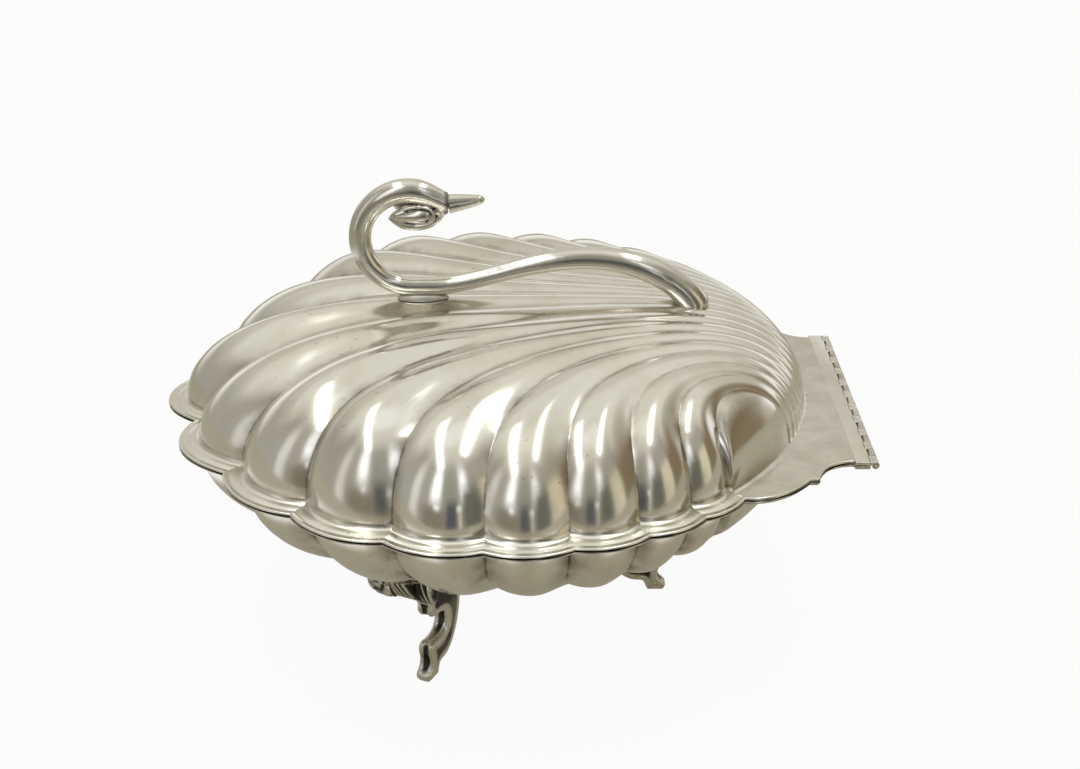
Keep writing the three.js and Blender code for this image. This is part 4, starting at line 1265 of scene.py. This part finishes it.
def hex_nut(name, node):
    low, high = (np.array(corner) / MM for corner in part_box(node))
    size, middle = high - low, (low + high) / 2
    nut = begin(name, bpy.ops.mesh.primitive_cylinder_add, vertices=6, radius=1, depth=1)
    shape = points_of(nut)
    shape /= np.ptp(shape, axis=0)
    place_points(nut, (shape * size + middle) * MM)
    apply_modifier(nut, "BEVEL", width=NUT_FILED * MM, segments=2)
    bore = begin(name + "_bore", bpy.ops.mesh.primitive_cylinder_add, vertices=32,
                 radius=NUT_BORE_R * MM, depth=8 * MM)
    place_points(bore, points_of(bore) + middle * MM)
    cut_away(nut, bore)
    bpy.data.objects.remove(bore)
    mark_hollows(nut, 2, 1.0)
    finish_piece(nut, TARNISHED, "lid", node, 30)


hex_nut("saddle_hex_nut", "saddle_nut")
hex_nut("tail_hex_nut", "tail_nut")

# %% [markdown]
# The studio. Silver has hardly any colour of its own: it shows the room. The real dish shows a
# bright ceiling, a pair of tall windows in front with small lamps under them, dark upright
# shapes and pale strips at table height, a tan wall on the right and a white sweep behind. The
# world holds these as soft patches, given by compass angle from the camera's side and by
# height, and only rays that leave the camera see plain white. The table ends in front of the
# dish, so the lower lobes look past its edge. In its reflection the table is dim under the
# dish, far from it and straight in front of it, where little light falls.

# %% Floor
WHITE = (1, 1, 1, 1)
TABLE_SIZE, TABLE_FRONT = 12.0, 0.42  # in metres, as all lengths of the studio
TABLE_SHADE = (0.34, 0.31, 0.22, 1)
DARK_TURN, DARK_HALF_TURN = math.radians(8), math.radians(26)


def soft_step(tree, value, middle, half, softness):
    """1 within half of the middle, 0 outside, with a soft border."""
    off = calculate(tree, "ABSOLUTE", calculate(tree, "SUBTRACT", value, middle))
    return remap(tree, off, half * (1 - softness), half * (1 + softness), 1.0, 0.0)


def axes_of(tree, vector):
    return add_node(tree, "ShaderNodeSeparateXYZ", {"Vector": vector}).outputs


floor = begin("studio_floor", bpy.ops.mesh.primitive_plane_add, size=TABLE_SIZE)
place_points(floor, points_of(floor) + [0, TABLE_SIZE / 2 - TABLE_FRONT, 0])
floor_paint, tree, shader = new_material("floor_paint")
shader.inputs["Base Color"].default_value = (0.60, 0.57, 0.50, 1)
shader.inputs["Roughness"].default_value = 0.9
shader.inputs["Specular IOR Level"].default_value = 0.1
spot = axes_of(tree, object_vector(tree))
reach = plus(tree, times(tree, spot["X"], spot["X"]), times(tree, spot["Y"], spot["Y"]))
reach = calculate(tree, "SQRT", reach)
lit = times(tree, remap(tree, reach, 0.155, 0.18, 0.1, 1.0),
            remap(tree, reach, 0.27, 0.37, 1.0, 0.12))
back = axes_of(tree, add_node(tree, "ShaderNodeNewGeometry").outputs["Incoming"])
turn = calculate(tree, "ARCTAN2", times(tree, back["X"], -1), back["Y"])
ahead = soft_step(tree, turn, DARK_TURN, DARK_HALF_TURN, 0.5)
lit = times(tree, lit, remap(tree, ahead, 0.0, 1.0, 0.95, 0.0))
rays = add_node(tree, "ShaderNodeLightPath").outputs
share = plus(tree, times(tree, rays["Is Camera Ray"], 0.95),
             times(tree, rays["Is Glossy Ray"], remap(tree, lit, 0.0, 1.0, 0.7, 0.97)))
whiteness = calculate(tree, "MAXIMUM", lit, rays["Is Camera Ray"])
glow = add_node(tree, "ShaderNodeEmission",
                {"Color": mix_colour(tree, whiteness, TABLE_SHADE, WHITE), "Strength": 1.0})
blend = add_node(tree, "ShaderNodeMixShader",
                 {0: share, 1: shader.outputs["BSDF"], 2: glow.outputs["Emission"]})
tree.links.new(blend.outputs[0], tree.nodes["Material Output"].inputs["Surface"])
floor.data.materials.append(floor_paint)

# %% Room light
ROOM = (0.42, 0.40, 0.35, 1)
# Half height and tone of two rounds of light about the zenith.
OVERHEAD = [(0.16, (0.72, 0.70, 0.63)), (0.03, (0.95, 0.96, 0.93))]
# Height, half height and tone of the sweep's bands.
SWEEP = [(0.0, 0.24, (0.98, 0.97, 0.94)), (0.58, 0.24, (0.66, 0.64, 0.57)),
         (0.80, 0.15, (0.80, 0.79, 0.72))]
# Compass angle with its half width, height with its half height, softness, tone.
PATCHES = [
    ((-95, 38), (0.10, 0.45), 0.35, (0.42, 0.41, 0.37)),  # left wall
    ((-60, 7), (0.25, 0.45), 0.40, (0.80, 0.80, 0.77)),  # pale strip, left
    ((96, 22), (0.15, 0.40), 0.35, (0.24, 0.19, 0.12)),  # brown corner, right
    ((63, 13), (0.10, 0.40), 0.15, (0.74, 0.68, 0.52)),  # tan wall, right
    ((2, 46), (-0.05, 0.22), 0.40, (0.30, 0.29, 0.25)),  # dim room at table height
    ((0, 14), (0.40, 0.30), 0.45, (0.34, 0.34, 0.30)),  # wall between the windows
    ((-25, 8), (0.52, 0.26), 0.50, (1.5, 1.56, 1.66)),  # tall window, left
    ((25, 7), (0.52, 0.24), 0.50, (1.4, 1.45, 1.54)),  # tall window, right
    ((-22, 4), (0.13, 0.05), 0.45, (1.5, 1.55, 1.64)),  # low lamp, left
    ((14, 3.5), (0.13, 0.05), 0.45, (1.4, 1.44, 1.52)),  # low lamp, right
    ((-27, 17), (-0.10, 0.20), 0.35, (0.25, 0.225, 0.175)),  # brown wall, left
    ((2, 9), (-0.02, 0.30), 0.35, (0.10, 0.107, 0.117)),  # dark upright shape
    ((34, 13), (0.08, 0.42), 0.35, (0.15, 0.155, 0.125)),  # dark doorway
    ((15, 2.5), (-0.08, 0.20), 0.50, (0.62, 0.60, 0.50)),  # pale strip between them
]

world = bpy.data.worlds.new("studio_room")
bpy.context.scene.world = world
world.use_nodes = True
tree = world.node_tree
way = axes_of(tree, add_node(tree, "ShaderNodeTexCoord").outputs["Generated"])
compass = calculate(tree, "ARCTAN2", way["X"], times(tree, way["Y"], -1))
room = ROOM
for half, tone in OVERHEAD:
    room = mix_colour(tree, soft_step(tree, way["Z"], 1.0, half, 0.5), room, (*tone, 1))
behind = remap(tree, way["Y"], -0.1, 0.25)
for height, half, tone in SWEEP:
    band = times(tree, behind, soft_step(tree, way["Z"], height, half, 0.35))
    room = mix_colour(tree, band, room, (*tone, 1))
for (angle, half_angle), (height, half), softness, tone in PATCHES:
    across = soft_step(tree, compass, math.radians(angle), math.radians(half_angle), softness)
    patch = times(tree, across, soft_step(tree, way["Z"], height, half, softness))
    room = mix_colour(tree, patch, room, (*tone, 1))
rays = add_node(tree, "ShaderNodeLightPath").outputs
ground = tree.nodes["Background"]
tree.links.new(mix_colour(tree, rays["Is Camera Ray"], room, WHITE), ground.inputs["Color"])
ground.inputs["Strength"].default_value = 1.0
print("room has", len(PATCHES), "patches")

# %% Soft boxes
BOX_HEIGHT, BOX_TINT = 1.35, (0.93, 0.97, 1.0)


def soft_box(name, x, y, size, power):
    """A long lamp that hangs beside the dish and points straight down."""
    clear_selection()
    bpy.ops.object.light_add(type="AREA", location=(x, y, BOX_HEIGHT))
    lamp = bpy.context.object
    lamp.name = name
    lamp.data.shape = "RECTANGLE"
    lamp.data.size, lamp.data.size_y = size
    lamp.data.energy = power
    lamp.data.color = BOX_TINT


soft_box("left_soft_box", -0.46, -0.30, (0.17, 1.5), 3.4)
soft_box("right_soft_box", 0.46, -0.05, (0.17, 1.0), 2.2)

# %% [markdown]
# The camera stands where the photograph's did: straight in front of the dish's long side and
# about twenty-five degrees above it. Its place and lens were worked out from the straight
# hinge line and from the scalloped rim, which lies flat.

# %% Camera
EYE = Vector((10.77, -554.0, 346.0)) * MM
TARGET = Vector((10.77, 11.10, 82.5)) * MM
bpy.ops.object.camera_add(location=EYE)
camera = bpy.context.object
camera.rotation_euler = (TARGET - EYE).to_track_quat("-Z", "Y").to_euler()
camera.data.sensor_width = 36
camera.data.lens = 54.81
camera.data.clip_start = 0.01
bpy.context.scene.camera = camera
bpy.context.scene.view_settings.view_transform = "Standard"

# %% Update the view layer
bpy.context.view_layer.update()
